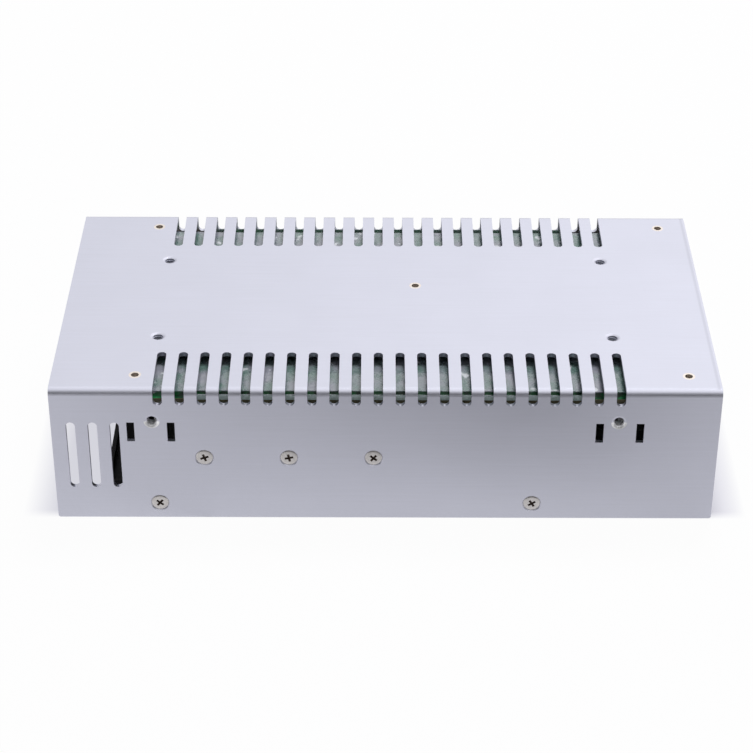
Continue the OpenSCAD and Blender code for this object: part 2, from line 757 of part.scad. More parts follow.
module terminal_plates() {
    color([0.85, 0.80, 0.62]) for (y = poles_at) difference() {
        union() {
            translate([tx1 + 1, y - 3.6, deck_z - plate_t]) cube([block_d - 3.2 - 0.5, 7.2, plate_t]);
            translate([tx2 - 3.2 - 0.5, y - 2, deck_z - plate_t]) cube([1, 4, z_parts - deck_z + plate_t]);
        }
        translate([tx1 + 5.6, y, deck_z - 2]) cylinder(r = term_r + seat, h = 4);
    }
}

module terminal_clamps() {
    color("silver") for (y = poles_at) translate([tx1 + 5.6, y, deck_z - plate_t - clamp_t]) difference() {
        translate([-3.5, -3.5, 0]) cube([7, 7, clamp_t]);
        translate([0, 0, -1]) cylinder(r = term_r + seat, h = clamp_t + 2);
    }
}

module terminal_screws() {
    color("silver") for (y = poles_at) translate([tx1 + 5.6, y, deck_z - plate_t - clamp_t])
        mirror([0, 0, 1]) pan_screw(8.5, term_r);
}

module terminal_lid() {
    barrel_l = block_w - 2 * touch;
    step_x = hinge_x - ear_r - touch;
    color([0.05, 0.05, 0.06]) {
        translate([lid_x1, -lid_wide, lid_z]) cube([step_x - lid_x1, 2 * lid_wide, lid_t]);
        translate([step_x - eps, -barrel_l / 2, lid_z]) cube([hinge_x - step_x, barrel_l, lid_t]);
        translate([lid_x1, -lid_wide, lid_z]) cube([1.4, 2 * lid_wide, lid_t + 2]);
        for (s = [-1, 1]) translate([lid_x1, s * (lid_wide - 0.7) - 0.7, lid_z])
            cube([step_x - lid_x1, 1.4, lid_t + 2]);
        translate([hinge_x, 0, hinge_z]) rotate([90, 0, 0])
            cylinder(r = barrel_r, h = barrel_l, center = true);
        translate([hinge_x, 0, hinge_z]) rotate([90, 0, 0])
            cylinder(r = pin_r, h = block_w + 2 * ear_t - 0.4, center = true);
    }
}

// ---- Trimmer, lamp and selector ----

module trimmer_body() {
    color([0.16, 0.33, 0.66]) on_board(trim_at) difference() {
        translate([0, 0, 2.5]) cube([trim_w, trim_w, 5], center = true);
        translate([0, 0, 3]) cylinder(r = trim_w / 2 - 0.9 + 0.08, h = 3);
    }
}

module trimmer_rotor() {
    color([0.92, 0.92, 0.88]) on_board(trim_at) translate([0, 0, 3 + seat]) difference() {
        cylinder(r = trim_w / 2 - 0.9, h = 2.4);
        for (a = [0, 90]) rotate(a) translate([-1.8, -0.4, 1.4]) cube([3.6, 0.8, 2]);
    }
}

module power_led() {
    color([0.35, 0.85, 0.35]) on_board(led_at) translate([0, 0, 20]) {
        rotate_extrude() {
            square([led_r, 3.2]);
            square([led_r + 0.35, 0.9]);
            intersection() {
                translate([0, 3.2]) circle(led_r);
                square([led_r, 6]);
            }
        }
    }
}

module selector_plate() {
    color("silver") translate([sel_x, y_in, sel_z]) rotate([90, 0, 0]) difference() {
        linear_extrude(sel_plate[2]) difference() {
            round_rect(sel_plate[0], sel_plate[1], 2);
            square([window_l, window_h], center = true);
        }
        for (s = [-1, 1]) translate([s * sel_pitch / 2, 0, -1]) cylinder(r = m3_tap_r, h = 4);
    }
}

module selector_body() {
    color([0.08, 0.08, 0.08]) translate([sel_x, y_in - sel_plate[2], sel_z]) rotate([90, 0, 0]) {
        difference() {
            linear_extrude(sel_body[2]) square([sel_body[0], sel_body[1]], center = true);
            translate([0, 0, -1]) linear_extrude(5.5) square([window_l, window_h], center = true);
        }
        for (i = [-1 : 1], s = [-1, 1]) translate([i * 5, s * 2.4, sel_body[2] + 1.8])
            cube([0.8, 1.8, 3.6 + eps], center = true);
    }
}

// Slider at the terminal end of its travel
module selector_slider() {
    y1 = y_in - sel_plate[2] - 4.5 + 0.1;
    base = [knob_l + 0.6, window_h - 0.3];
    at = -window_l / 2 + 0.2 + base[0] / 2;
    color([0.80, 0.10, 0.08]) translate([sel_x + at, 0, sel_z]) difference() {
        union() {
            translate([-base[0] / 2, y1, -base[1] / 2]) cube([base[0], 3, base[1]]);
            translate([-knob_l / 2, y1, -base[1] / 2 + 0.3])
                cube([knob_l, yw - y1 - 0.4, base[1] - 0.6]);
        }
        translate([-0.6, yw - 1.6, -1.8]) cube([1.2, 3, 3.6]);
    }
}

module selector_screws() {
    color("silver") for (s = [-1, 1]) on_wall(sel_x + s * sel_pitch / 2, sel_z, 1) csk_screw(5);
}

// ---- Fan ----

module fan_frame() {
    hub = hub_r - 0.5;
    color([0.07, 0.07, 0.08]) translate([fan_x, 0, cover_t]) {
        difference() {
            union() {
                linear_extrude(fan_flange) round_rect(fan_size, fan_size, fan_corner);
                translate([0, 0, fan_t - fan_flange]) linear_extrude(fan_flange)
                    round_rect(fan_size, fan_size, fan_corner);
                cylinder(r = duct_r + fan_wall, h = fan_t);
            }
            translate([0, 0, -1]) cylinder(r = duct_r, h = fan_t + 2);
            for (x = [-1, 1], y = [-1, 1]) translate([x * fan_holes / 2, y * fan_holes / 2, -1])
                cylinder(r = fan_hole_r, h = fan_t + 2);
        }
        // motor seat and its struts, on the board side
        difference() {
            union() {
                translate([0, 0, fan_t - strut_h]) cylinder(r = hub, h = strut_h);
                for (a = [90, 210, 330]) rotate(a) translate([hub - 1, -strut_w / 2, fan_t - strut_h])
                    cube([duct_r - hub + 1.4, strut_w, strut_h]);
                translate([0, 0, 3.2]) cylinder(r = shaft_r + 1.8, h = fan_t - 3.2 - strut_h + eps);
            }
            translate([0, 0, 1]) cylinder(r = shaft_r + shaft_gap, h = fan_t - 1 - 1);
            for (s = [-1, 1]) translate([s * pin_pitch / 2, lead_y, fan_t - strut_h - 1])
                cylinder(r = wire_r + seat, h = strut_h + 2);
        }
    }
}

module fan_stator() {
    r1 = shaft_r + 1.8;
    h = fan_t - stator_z - strut_h;
    color([0.72, 0.43, 0.20]) translate([fan_x, 0, cover_t + stator_z]) difference() {
        union() {
            cylinder(r = r1 + 1, h = h);
            for (a = [0 : 90 : 270]) rotate(a) {
                translate([0, -2, 1]) cube([hub_r - 2.4, 4, h - 1 - stator_gap]);
                translate([hub_r - 3.6, -3.6, 1]) cube([1.2, 7.2, h - 1 - stator_gap]);
            }
        }
        translate([0, 0, -1]) cylinder(r = r1, h = fan_t);
    }
}

// One blade, as a piece of a round shell that spans from the hub to the tip
module fan_blade() {
    tip = duct_r - tip_gap;
    intersection() {
        translate([0, 0, 0.6]) difference() {
            cylinder(r = tip, h = rotor_h - 1.2);
            translate([0, 0, -1]) cylinder(r = hub_r - 0.4, h = rotor_h + 2);
        }
        translate([0, 0, rotor_h / 2]) rotate([-blade_pitch, 0, 0]) translate([0, 0, -blade_camber])
            rotate([0, 90, 0]) difference() {
                cylinder(r = blade_camber + blade_t / 2, h = tip + 2);
                translate([0, 0, -1]) cylinder(r = blade_camber - blade_t / 2, h = tip + 4);
            }
        translate([0, -9, 0]) cube([tip + 2, 18, rotor_h]);
    }
}

module fan_rotor() {
    wall = 1;
    color([0.09, 0.09, 0.10]) translate([fan_x, 0, rotor_z1]) {
        difference() {
            cylinder(r = hub_r, h = rotor_h);
            translate([0, 0, 1.6]) cylinder(r = hub_r - wall, h = rotor_h);
        }
        cylinder(r = shaft_r, h = fan_t - 2.6);
        for (i = [0 : blades - 1]) rotate(i * 360 / blades) fan_blade();
    }
}

module fan_screws() {
    color([0.15, 0.15, 0.16]) for (x = [-1, 1], y = [-1, 1])
        translate([fan_x + x * fan_holes / 2, y * fan_holes / 2, 0]) mirror([0, 0, 1]) csk_screw(12);
}

// Lead at x from the fan's axis: out of the motor seat, along the strut, up into the plug
module fan_lead(x) {
    inside = strut_h + stator_gap;
    z1 = fan_z1 + seat + wire_r;
    bend_y = header_at[1] - lead_bend;
    top = z_parts - plug_in - plug_bore;
    translate([fan_x + x, lead_y, fan_z1 - inside]) cylinder(r = wire_r, h = z1 - fan_z1 + inside);
    translate([fan_x + x, lead_y, z1]) sphere(wire_r);
    translate([fan_x + x, lead_y, z1]) rotate([-90, 0, 0]) cylinder(r = wire_r, h = bend_y - lead_y);
    translate([fan_x + x, bend_y, z1 + lead_bend]) rotate([90, 0, 90]) rotate(-90)
        rotate_extrude(angle = 90) translate([lead_bend, 0]) circle(wire_r);
    translate([fan_x + x, header_at[1], z1 + lead_bend]) cylinder(r = wire_r, h = top - z1 - lead_bend);
}

module fan_lead_red() color([0.75, 0.08, 0.06]) fan_lead(-pin_pitch / 2);

module fan_lead_black() color([0.05, 0.05, 0.05]) fan_lead(pin_pitch / 2);

module fan_plug() {
    color([0.93, 0.92, 0.86]) on_board(header_at) translate([0, 0, plug_in]) difference() {
        translate([-2.9, -1.9, 0]) cube([5.8, 3.8, plug_l]);
        for (s = [-1, 1]) translate([s * pin_pitch / 2, 0, 0]) {
            translate([0, 0, plug_bore]) cylinder(r = wire_r + seat, h = plug_l);
            translate([0, 0, -1]) cylinder(r = 0.5, h = plug_bore - 0.5);
        }
    }
}

module fan_header() {
    color([0.95, 0.94, 0.90]) on_board(header_at) {
        difference() {
            translate([-header[0] / 2, -header[1] / 2, 0]) cube(header);
            translate([-3, -2, plug_in - seat]) cube([6, 4, header[2]]);
        }
        for (s = [-1, 1]) translate([s * pin_pitch / 2, 0, 1.5]) cylinder(r = 0.4, h = 6);
    }
}

// ---- Heat bars and power devices ----

module heat_bar(side) {
    y1 = y_in - bar_t;
    scale_y = side > 0 ? 0 : 1;
    color([0.78, 0.79, 0.80]) mirror([0, scale_y, 0]) difference() {
        translate([bx0 - bar_l / 2, y1, bar_z - bar_h / 2]) cube([bar_l, bar_t, bar_h]);
        for (i = [-1 : 1]) translate([bx0 + i * bar_pitch, y1 - 1, bar_z]) rotate([-90, 0, 0])
            cylinder(r = m3_tap_r, h = bar_t + 2);
        for (x = device_x) translate([x, y1 - 1, bar_z - 4]) rotate([-90, 0, 0])
            cylinder(r = m3_tap_r, h = bar_t);
    }
}

module front_heat_bar() heat_bar(-1);

module rear_heat_bar() heat_bar(1);

module bar_screws(side) {
    color("silver") for (i = [-1 : 1]) on_wall(bx0 + i * bar_pitch, bar_z, side)
        csk_screw(sheet_t + bar_t - 1);
}

module front_bar_screws() bar_screws(-1);

module rear_bar_screws() bar_screws(1);

module thermal_pads() {
    color([0.80, 0.82, 0.88]) for (x = device_x, s = [-1, 1])
        translate([x, s * (device_y + pad_t / 2), bar_z]) difference() {
            cube([device[0] + 1.6, pad_t, device[2] - 2.6], center = true);
            translate([0, 0, -4]) rotate([90, 0, 0]) cylinder(r = m3_tap_r, h = 2, center = true);
        }
}

// Flat power device with its tab against the bar and its screw hole near the top
module power_device(x, side) {
    s = side > 0 ? 0 : 1;
    mirror([0, s, 0]) translate([x, device_y - device[1], bar_z - device[2] / 2]) difference() {
        union() {
            cube([device[0], device[1] - 1.6, device[2]]);
            translate([1, 0, 0]) cube([device[0] - 2, device[1], device[2] - 1]);
        }
        translate([device[0] / 2, -1, device[2] / 2 - 4]) rotate([-90, 0, 0])
            cylinder(r = m3_tap_r + 0.2, h = device[1] + 2);
        for (e = [0, device[0]]) translate([e, -1, device[2] / 2 - 4]) rotate([-90, 0, 0])
            cylinder(r = 1.6, h = device[1] + 2);
    }
}

module switching_transistors() {
    color([0.08, 0.08, 0.09]) for (x = device_x) power_device(x - device[0] / 2, -1);
}

module rectifier_diodes() {
    color([0.08, 0.08, 0.09]) for (x = device_x) power_device(x - device[0] / 2, 1);
}

module device_screws() {
    color("silver") for (x = device_x, s = [-1, 1])
        translate([x, s * (device_y - device[1]), bar_z - 4]) rotate([90 * s, 0, 0])
            pan_screw(device[1] + pad_t + 4);
}

// ---- Wound parts ----

// Half of the core: an E whose legs point along +Z
module core_half() {
    difference() {
        translate([-xfmr_w / 2, -xfmr_d / 2, 0]) cube([xfmr_w, xfmr_d, xfmr_h / 2]);
        for (s = [-1, 1]) translate([s * (centre_leg + window_x) / 2 - window_x / 2, -xfmr_d, core_back])
            cube([window_x, 2 * xfmr_d, xfmr_h]);
    }
}

module transformer_core() {
    color([0.22, 0.22, 0.24]) on_board([xfmr_x, xfmr_y]) rotate(90) translate([0, 0, xfmr_lift]) {
        core_half();
        translate([0, 0, xfmr_h]) mirror([0, 0, 1]) core_half();
    }
}

module transformer_bobbin() {
    hole = [centre_leg + 2 * seat, xfmr_d + 2 * seat];
    inner = 2 * window_x + centre_leg - 2 * seat;
    color([0.12, 0.11, 0.11]) on_board([xfmr_x, xfmr_y]) rotate(90) {
        translate([0, 0, xfmr_lift + core_back]) linear_extrude(window_z) difference() {
            square(hole + [2, 2], center = true);
            square(hole, center = true);
        }
        for (z = [seat, window_z - 1.2 - seat]) translate([0, 0, xfmr_lift + core_back + z])
            linear_extrude(1.2) difference() {
                square([inner, bobbin_d], center = true);
                square(hole, center = true);
            }
        for (s = [-1, 1]) {
            translate([-11, s * (bobbin_d / 2 - 1.5) - 1.5, 0.4])
                cube([22, 3, xfmr_lift + core_back + 0.6]);
            for (i = [0 : 3]) translate([(i - 1.5) * 5, s * (bobbin_d / 2 - 1.5), 0])
                cylinder(r = 0.45, h = 1);
        }
    }
}

module transformer_winding() {
    hole = [centre_leg + 2 + 4 * seat, xfmr_d + 2 + 4 * seat];
    h = window_z - 2.8;
    color([0.93, 0.75, 0.16]) on_board([xfmr_x, xfmr_y]) rotate(90)
        translate([0, 0, xfmr_lift + core_back + 1.4]) difference() {
            union() {
                linear_extrude(h) round_rect(2 * window_x + centre_leg - 0.6, winding_d - 1, 3);
                translate([0, 0, h / 2 - 3]) linear_extrude(6)
                    round_rect(2 * window_x + centre_leg - 0.3, winding_d, 3);
            }
            translate([0, 0, -1]) linear_extrude(h + 2) square(hole, center = true);
        }
}

// Ring core that lies flat, lifted by one wire
module ring_core(r, ri, h, wire) {
    translate([0, 0, wire + turn_gap]) rotate_extrude() translate([(r + ri) / 2, h / 2])
        round_rect(r - ri, h, 1);
}

// Turns of flat-sided wire round a ring core, over a list of angles
module ring_turns(r, ri, h, wire, angles) {
    in = [r - ri + 2 * turn_gap, h + 2 * turn_gap];
    for (a = angles) rotate(a) translate([(r + ri) / 2, 0, wire + turn_gap + h / 2]) rotate([90, 0, 0])
        linear_extrude(wire, center = true) difference() {
            round_rect(in[0] + 2 * wire, in[1] + 2 * wire, 1 + wire);
            round_rect(in[0], in[1], 1);
        }
}

module choke_core() {
    color([0.86, 0.80, 0.25]) on_board([choke_x, choke_y])
        ring_core(choke_r, choke_ri, choke_h, choke_wire);
}

module choke_winding() {
    color([0.72, 0.36, 0.16]) on_board([choke_x, choke_y])
        ring_turns(choke_r, choke_ri, choke_h, choke_wire,
            [for (i = [0 : choke_turns - 1]) 360 / choke_turns * (i + 0.5)]);
}

module filter_core() {
    color([0.14, 0.42, 0.24]) on_board([filter_x, filter_y]) translate([0, 0, 2.2])
        ring_core(filter_r, filter_r * 0.55, filter_h, filter_wire);
}

module filter_windings() {
    color([0.72, 0.36, 0.16]) on_board([filter_x, filter_y]) translate([0, 0, 2.2])
        ring_turns(filter_r, filter_r * 0.55, filter_h, filter_wire,
            [for (s = [0, 180], i = [-3 : 3]) s + i * 17]);
}

module filter_base() {
    color([0.10, 0.10, 0.11]) on_board([filter_x, filter_y]) difference() {
        translate([0, 0, 1.1]) linear_extrude(2.2, center = true)
            round_rect(filter_box, filter_box, 2);
        translate([0, 0, -1]) cylinder(r = filter_r * 0.4, h = 6);
    }
}

module drive_transformer() {
    d = drive;
    color([0.93, 0.75, 0.16]) on_board(drive_at) {
        translate([0, 0, 1.5]) linear_extrude(2, center = true) square([d[0], d[1] - 3], center = true);
        translate([0, 0, 2.5]) linear_extrude(d[2] - 3.5) round_rect(d[0] - 4, d[1] - 1, 2);
        translate([0, 0, 4.5]) linear_extrude(d[2] - 7.5) round_rect(d[0], d[1] - 6, 2);
    }
}

// ---- Mains input parts ----

module mains_capacitor() {
    color([0.93, 0.78, 0.12]) on_board([film_cap_x, film_cap_y]) translate([0, 0, 0.3])
        linear_extrude(film_cap[2]) round_rect(film_cap[0], film_cap[1], 0.8);
}

module disc_part(at, r, t, lift) {
    on_board(at) translate([0, 0, lift + r]) rotate([0, 90, 0]) rotate_extrude() intersection() {
        union() {
            translate([0, -t / 2]) square([r - t / 2, t]);
            translate([r - t / 2, 0]) circle(t / 2);
        }
        translate([0, -t]) square([r, 2 * t]);
    }
}

module safety_capacitors() {
    color([0.20, 0.48, 0.75]) for (c = discs) disc_part(c, disc_r, disc_t, disc_lift);
}

module inrush_thermistor() color([0.13, 0.20, 0.14]) disc_part(ntc_at, ntc_r, ntc_t, ntc_lift);

module fuse_glass() {
    color([0.85, 0.90, 0.92, 0.5]) on_board([fuse_x, fuse_y]) translate([0, 0, fuse_r + 2])
        rotate([0, 90, 0]) cylinder(r = fuse_r - 0.25, h = fuse_l - 10.2, center = true);
}

module fuse_caps() {
    color("silver") on_board([fuse_x, fuse_y]) translate([0, 0, fuse_r + 2]) for (s = [-1, 1])
        translate([s * (fuse_l / 2 - 2.5), 0, 0]) rotate([0, 90, 0])
            cylinder(r = fuse_r, h = 5, center = true);
}

module fuse_clips() {
    ro = fuse_r + seat + 0.5;
    color([0.80, 0.78, 0.70]) on_board([fuse_x, fuse_y]) for (s = [-1, 1])
        translate([s * (fuse_l / 2 - 2.5) - 1.9, 0, 0]) {
            translate([0, 0, fuse_r + 2]) rotate([90, 0, 90]) linear_extrude(3.8) difference() {
                circle(ro);
                circle(fuse_r + seat);
                translate([0, 2 * ro - 0.8]) square(2 * ro, center = true);
            }
            for (t = [-1, 1]) translate([0, t * 1.6 - 0.3, 0])
                cube([3.8, 0.6, fuse_r + 2 - sqrt(pow(fuse_r + seat, 2) - 1.3 * 1.3)]);
        }
}

module bridge_rectifier() {
    color([0.07, 0.07, 0.08]) on_board(bridge_at) translate([0, 0, bridge_lift]) rotate([90, 0, 90])
        linear_extrude(bridge[0], center = true) difference() {
            translate([-bridge[1] / 2, 0]) square([bridge[1], bridge[2]]);
            translate([0, bridge[2] / 2 + 1]) circle(1.8);
            translate([bridge[1] / 2, bridge[2]]) rotate(45) square(4, center = true);
        }
}

module bridge_heatsink() {
    color([0.78, 0.79, 0.80]) on_board(bridge_at)
        translate([bridge[0] / 2, -sink[1] / 2, 0]) difference() {
            union() {
                cube([sink[0], sink[1], sink[2] + 2]);
                for (y = [0, sink[1] - 1.2]) translate([0, y, 4]) cube([6, 1.2, sink[2] - 2]);
            }
            translate([-1, sink[1] / 2, bridge_lift + bridge[2] / 2 + 1]) rotate([0, 90, 0])
                cylinder(r = 1.8, h = 5);
        }
}

// ---- Capacitors, chips and resistors ----

// Can with a rolled groove near its base and a rounded shoulder
module can(r, h) {
    difference() {
        rotate_extrude() {
            square([r - 0.8, h]);
            square([r, h - 0.8]);
            translate([r - 0.8, h - 0.8]) circle(0.8);
        }
        translate([0, 0, min(3, h / 4)]) rotate_extrude() translate([r + 0.35, 0]) circle(0.75);
    }
}

module reservoir_capacitors() {
    color([0.10, 0.12, 0.20]) for (x = bulk_x) on_board([x, bulk_y]) can(bulk_r, bulk_h);
}

module output_capacitors() {
    color([0.10, 0.22, 0.12]) for (c = out_caps) on_board(c) can(out_cap_r, out_cap_h);
}

module control_capacitors() {
    color([0.12, 0.12, 0.15]) for (c = small_caps) on_board(c) can(c[2], c[3]);
}

module control_chips() {
    color([0.06, 0.06, 0.07]) for (c = chips_at) on_board(c) {
        translate([0, 0, 0.6 + chip[2] / 2]) cube(chip, center = true);
        for (i = [0 : 7], s = [-1, 1]) translate([(i - 3.5) * 2.54, s * 3.6, 1.1])
            cube([0.6, 0.8, 2.2], center = true);
    }
}

module power_resistors() {
    color([0.62, 0.66, 0.70]) for (c = big_res) on_board(c) translate([0, 0, 4]) rotate([0, 90, 0])
        cylinder(r = 2.4, h = big_res_l, center = true);
}

module small_resistors() {
    color([0.78, 0.66, 0.46]) for (c = res_at) on_board(c) translate([0, 0, 2.2]) rotate([90, 0, 0]) {
        cylinder(r = 1.05, h = 6.4, center = true);
        for (s = [-1, 1]) translate([0, 0, s * 2.4]) cylinder(r = 1.3, h = 1.6, center = true);
    }
}

chassis();
mesh_cover();
cover_screws();
standoffs();
insulating_film();
circuit_board();
board_screws();
component_leads();
terminal_block();
terminal_plates();
terminal_clamps();
terminal_screws();
terminal_lid();
trimmer_body();
trimmer_rotor();
power_led();
fan_frame();
fan_stator();
fan_rotor();
fan_screws();
fan_lead_red();
fan_lead_black();
fan_plug();
fan_header();
selector_body();
selector_plate();
selector_slider();
selector_screws();
front_heat_bar();
rear_heat_bar();
front_bar_screws();
rear_bar_screws();
thermal_pads();
switching_transistors();
rectifier_diodes();
device_screws();
transformer_core();
transformer_bobbin();
transformer_winding();
choke_core();
choke_winding();
filter_core();
filter_windings();
filter_base();
mains_capacitor();
safety_capacitors();
fuse_glass();
fuse_caps();
fuse_clips();
inrush_thermistor();
bridge_rectifier();
bridge_heatsink();
reservoir_capacitors();
output_capacitors();
control_capacitors();
drive_transformer();
control_chips();
power_resistors();
small_resistors();
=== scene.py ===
import math
import bmesh
import bpy
from mathutils import Matrix, Vector


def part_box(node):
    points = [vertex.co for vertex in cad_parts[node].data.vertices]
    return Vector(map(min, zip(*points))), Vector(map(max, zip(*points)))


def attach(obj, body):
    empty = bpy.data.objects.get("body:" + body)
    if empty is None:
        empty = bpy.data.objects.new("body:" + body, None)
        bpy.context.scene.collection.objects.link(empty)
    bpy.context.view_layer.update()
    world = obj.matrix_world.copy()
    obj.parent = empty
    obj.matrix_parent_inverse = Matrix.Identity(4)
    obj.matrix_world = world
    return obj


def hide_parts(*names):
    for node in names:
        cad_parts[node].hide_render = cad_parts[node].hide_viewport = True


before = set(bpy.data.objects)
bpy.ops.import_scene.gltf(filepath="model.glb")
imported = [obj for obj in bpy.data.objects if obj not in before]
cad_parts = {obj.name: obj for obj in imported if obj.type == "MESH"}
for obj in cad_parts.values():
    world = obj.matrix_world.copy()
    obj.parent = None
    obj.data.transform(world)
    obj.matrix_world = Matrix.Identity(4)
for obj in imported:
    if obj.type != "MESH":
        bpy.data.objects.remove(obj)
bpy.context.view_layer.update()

mm = 0.001
case_low, case_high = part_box("chassis")
half_w = case_high.y
case_h = case_high.z


# ---- Chassis ----
# One folded sheet of aluminium with a faint mill grain along the case. It is punched, drawn and
# tapped while flat. A thin dark line of painted shade runs along the foot of each bend and along the
# right end of the base, and the lower lips of the side holes carry a painted highlight.

def srgb(red, green, blue):
    """The linear colour of a paint chip given as 0 to 255."""
    return tuple(c / 12.92 if c <= 0.04045 else ((c + 0.055) / 1.055) ** 2.4
                 for c in (red / 255, green / 255, blue / 255))


def put(tree, kind, sockets=None, **settings):
    """A new node; each socket takes a plain value or another node's output."""
    node = tree.nodes.new("ShaderNode" + kind)
    for key, value in settings.items():
        setattr(node, key, value)
    for socket, value in (sockets or {}).items():
        if isinstance(value, bpy.types.NodeSocket):
            tree.links.new(value, node.inputs[socket])
        else:
            node.inputs[socket].default_value = value
    return node


def finish(name, colour, roughness, metallic=0.0, **sockets):
    """A material whose constants sit on its own Principled shader."""
    material = bpy.data.materials.new(name)
    material.use_nodes = True
    shader = material.node_tree.nodes["Principled BSDF"]
    shader.inputs["Base Color"].default_value = (*colour, 1)
    shader.inputs["Roughness"].default_value = roughness
    shader.inputs["Metallic"].default_value = metallic
    for socket, value in sockets.items():
        shader.inputs[socket.replace("_", " ")].default_value = value
    return material, material.node_tree, shader


def wire(tree, output, shader, socket):
    tree.links.new(output, shader.inputs[socket])


def raise_by(tree, shader, height, depth, strength=1.0):
    """Bump of the given depth in metres."""
    bump = put(tree, "Bump", {"Height": height, "Distance": depth, "Strength": strength})
    wire(tree, bump.outputs["Normal"], shader, "Normal")


def new_group(name, inputs, outputs):
    group = bpy.data.node_groups.new(name, "ShaderNodeTree")
    for socket, kind, value in inputs:
        made = group.interface.new_socket(socket, in_out="INPUT", socket_type="NodeSocket" + kind)
        made.default_value = value
    for socket, kind in outputs:
        group.interface.new_socket(socket, in_out="OUTPUT", socket_type="NodeSocket" + kind)
    return group, group.nodes.new("NodeGroupInput")


def leave_group(group, outputs):
    end = group.nodes.new("NodeGroupOutput")
    for socket, value in outputs.items():
        group.links.new(value, end.inputs[socket])


def maths(tree, operation, a, b=0.0, c=0.0):
    return put(tree, "Math", {0: a, 1: b, 2: c}, operation=operation).outputs[0]


def place_of(tree):
    return put(tree, "TexCoord").outputs["Object"]


def axes_of(tree):
    return put(tree, "SeparateXYZ", {0: place_of(tree)}).outputs


def ramp(tree, value, start, end, low=0.0, high=1.0, **settings):
    """low where value is at start, rising to high at end."""
    return put(tree, "MapRange", {"Value": value, "From Min": start, "From Max": end,
                                  "To Min": low, "To Max": high}, **settings).outputs[0]


def within(tree, value, middle, half, soft):
    """1 where value lies within half of middle, fading to 0 over soft."""
    off = maths(tree, "ABSOLUTE", maths(tree, "SUBTRACT", value, middle))
    return ramp(tree, off, half + soft, half)


def noise(tree, scale, detail):
    return put(tree, "TexNoise", {"Vector": place_of(tree), "Scale": scale, "Detail": detail}).outputs[0]


def tone_by(tree, shader, factor, dark, light):
    """Base colour between two plain colours."""
    wire(tree, blend_colours(tree, factor, (*dark, 1), (*light, 1)), shader, "Base Color")


def blend_colours(tree, factor, a, b):
    mix = put(tree, "Mix", {0: factor, 6: a, 7: b}, data_type="RGBA")
    return mix.outputs[2]


def use_group(tree, group, sockets):
    return put(tree, "Group", sockets, node_tree=group).outputs


def dress(material, *nodes):
    for node in nodes:
        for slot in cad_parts[node].material_slots:
            slot.material = material


# Rolled or drawn metal: fine streaks along one direction over broad, faint clouds
sheet_grain, start = new_group(
    "sheet_grain",
    [("Colour", "Color", (0.8, 0.8, 0.8, 1)), ("Along", "Vector", (30, 1500, 1500)),
     ("Streaks", "Float", 0.03), ("Clouds", "Float", 0.02), ("Roughness", "Float", 0.4)],
    [("Colour", "Color"), ("Roughness", "Float"), ("Height", "Float")])
at = put(sheet_grain, "VectorMath", {0: place_of(sheet_grain), 1: start.outputs["Along"]},
         operation="MULTIPLY").outputs[0]
streak = put(sheet_grain, "TexNoise", {"Vector": at, "Scale": 1.0, "Detail": 3.0}).outputs[0]
cloud = noise(sheet_grain, 45.0, 2.0)
level = maths(sheet_grain, "MULTIPLY_ADD", maths(sheet_grain, "SUBTRACT", streak, 0.5),
              start.outputs["Streaks"], 1.0)
level = maths(sheet_grain, "MULTIPLY_ADD", maths(sheet_grain, "SUBTRACT", cloud, 0.5),
              start.outputs["Clouds"], level)
tone = put(sheet_grain, "VectorMath", {0: start.outputs["Colour"], "Scale": level}, operation="SCALE")
rough = maths(sheet_grain, "MULTIPLY_ADD", maths(sheet_grain, "SUBTRACT", streak, 0.5), 0.15,
              start.outputs["Roughness"])
leave_group(sheet_grain, {"Colour": tone.outputs[0], "Roughness": rough, "Height": streak})

chassis_colour = srgb(204, 205, 218)
mount_x, mount_y, side_mount_z = 75 * mm, 25 * mm, case_h - 12 * mm
aluminium, tree, shader = finish("mill_aluminium", chassis_colour, 0.4, 0.85)
x, y, z = axes_of(tree)[0:3]
# Painted shade: a thin dark line at the foot of each bend and along the base's right end.
painted_bend_shade = maths(tree, "MULTIPLY", within(tree, z, case_h - 1.85 * mm, 0.2 * mm, 0.35 * mm),
                 within(tree, maths(tree, "ABSOLUTE", y), half_w, 0.3 * mm, 0.2 * mm))
grain = use_group(tree, sheet_grain, {"Colour": (*chassis_colour, 1), "Along": (35, 1300, 1300),
                                      "Streaks": 0.1, "Clouds": 0.06, "Roughness": 0.4})
painted_end_shade = maths(tree, "MULTIPLY", within(tree, x, case_high.x - 1.1 * mm, 0.2 * mm, 0.5 * mm),
                 within(tree, z, case_h, 0.1 * mm, 0.1 * mm))
painted_shade = maths(tree, "MAXIMUM", maths(tree, "MULTIPLY", painted_bend_shade, 0.25),
              maths(tree, "MULTIPLY", painted_end_shade, 0.14))
grain_and_painted_shade = blend_colours(tree, painted_shade, grain["Colour"], (*srgb(96, 95, 104), 1))
# Painted highlight: the lower lips of the side holes are painted near white.
across = maths(tree, "SUBTRACT", maths(tree, "ABSOLUTE", x), mount_x)
below = maths(tree, "SUBTRACT", side_mount_z, z)
radial = maths(tree, "SQRT", maths(tree, "MULTIPLY_ADD", across, across,
                                   maths(tree, "MULTIPLY", below, below)))
bare_chips_and_painted_lip_highlight = maths(tree, "MULTIPLY", within(tree, radial, 0.0, 2.45 * mm, 0.2 * mm),
             within(tree, below, 1.7 * mm, 1.4 * mm, 0.6 * mm))
wire(tree, blend_colours(tree, bare_chips_and_painted_lip_highlight, grain_and_painted_shade, (*srgb(250, 250, 252), 1)), shader, "Base Color")
wire(tree, grain["Roughness"], shader, "Roughness")
raise_by(tree, shader, grain["Height"], 0.01 * mm, 0.4)
dress(aluminium, "chassis")


# ---- Threads of the mounting holes ----
# Four M4 holes in the base and two in each side wall are tapped through their drawn collars. The
# thread is a small ridge that winds down the bore.

def deselect():
    if bpy.context.mode != "OBJECT":
        bpy.ops.object.mode_set(mode="OBJECT")
    bpy.ops.object.select_all(action="DESELECT")


def take(piece):
    """Makes a piece the only selected and active one."""
    deselect()
    piece.select_set(True)
    bpy.context.view_layer.objects.active = piece


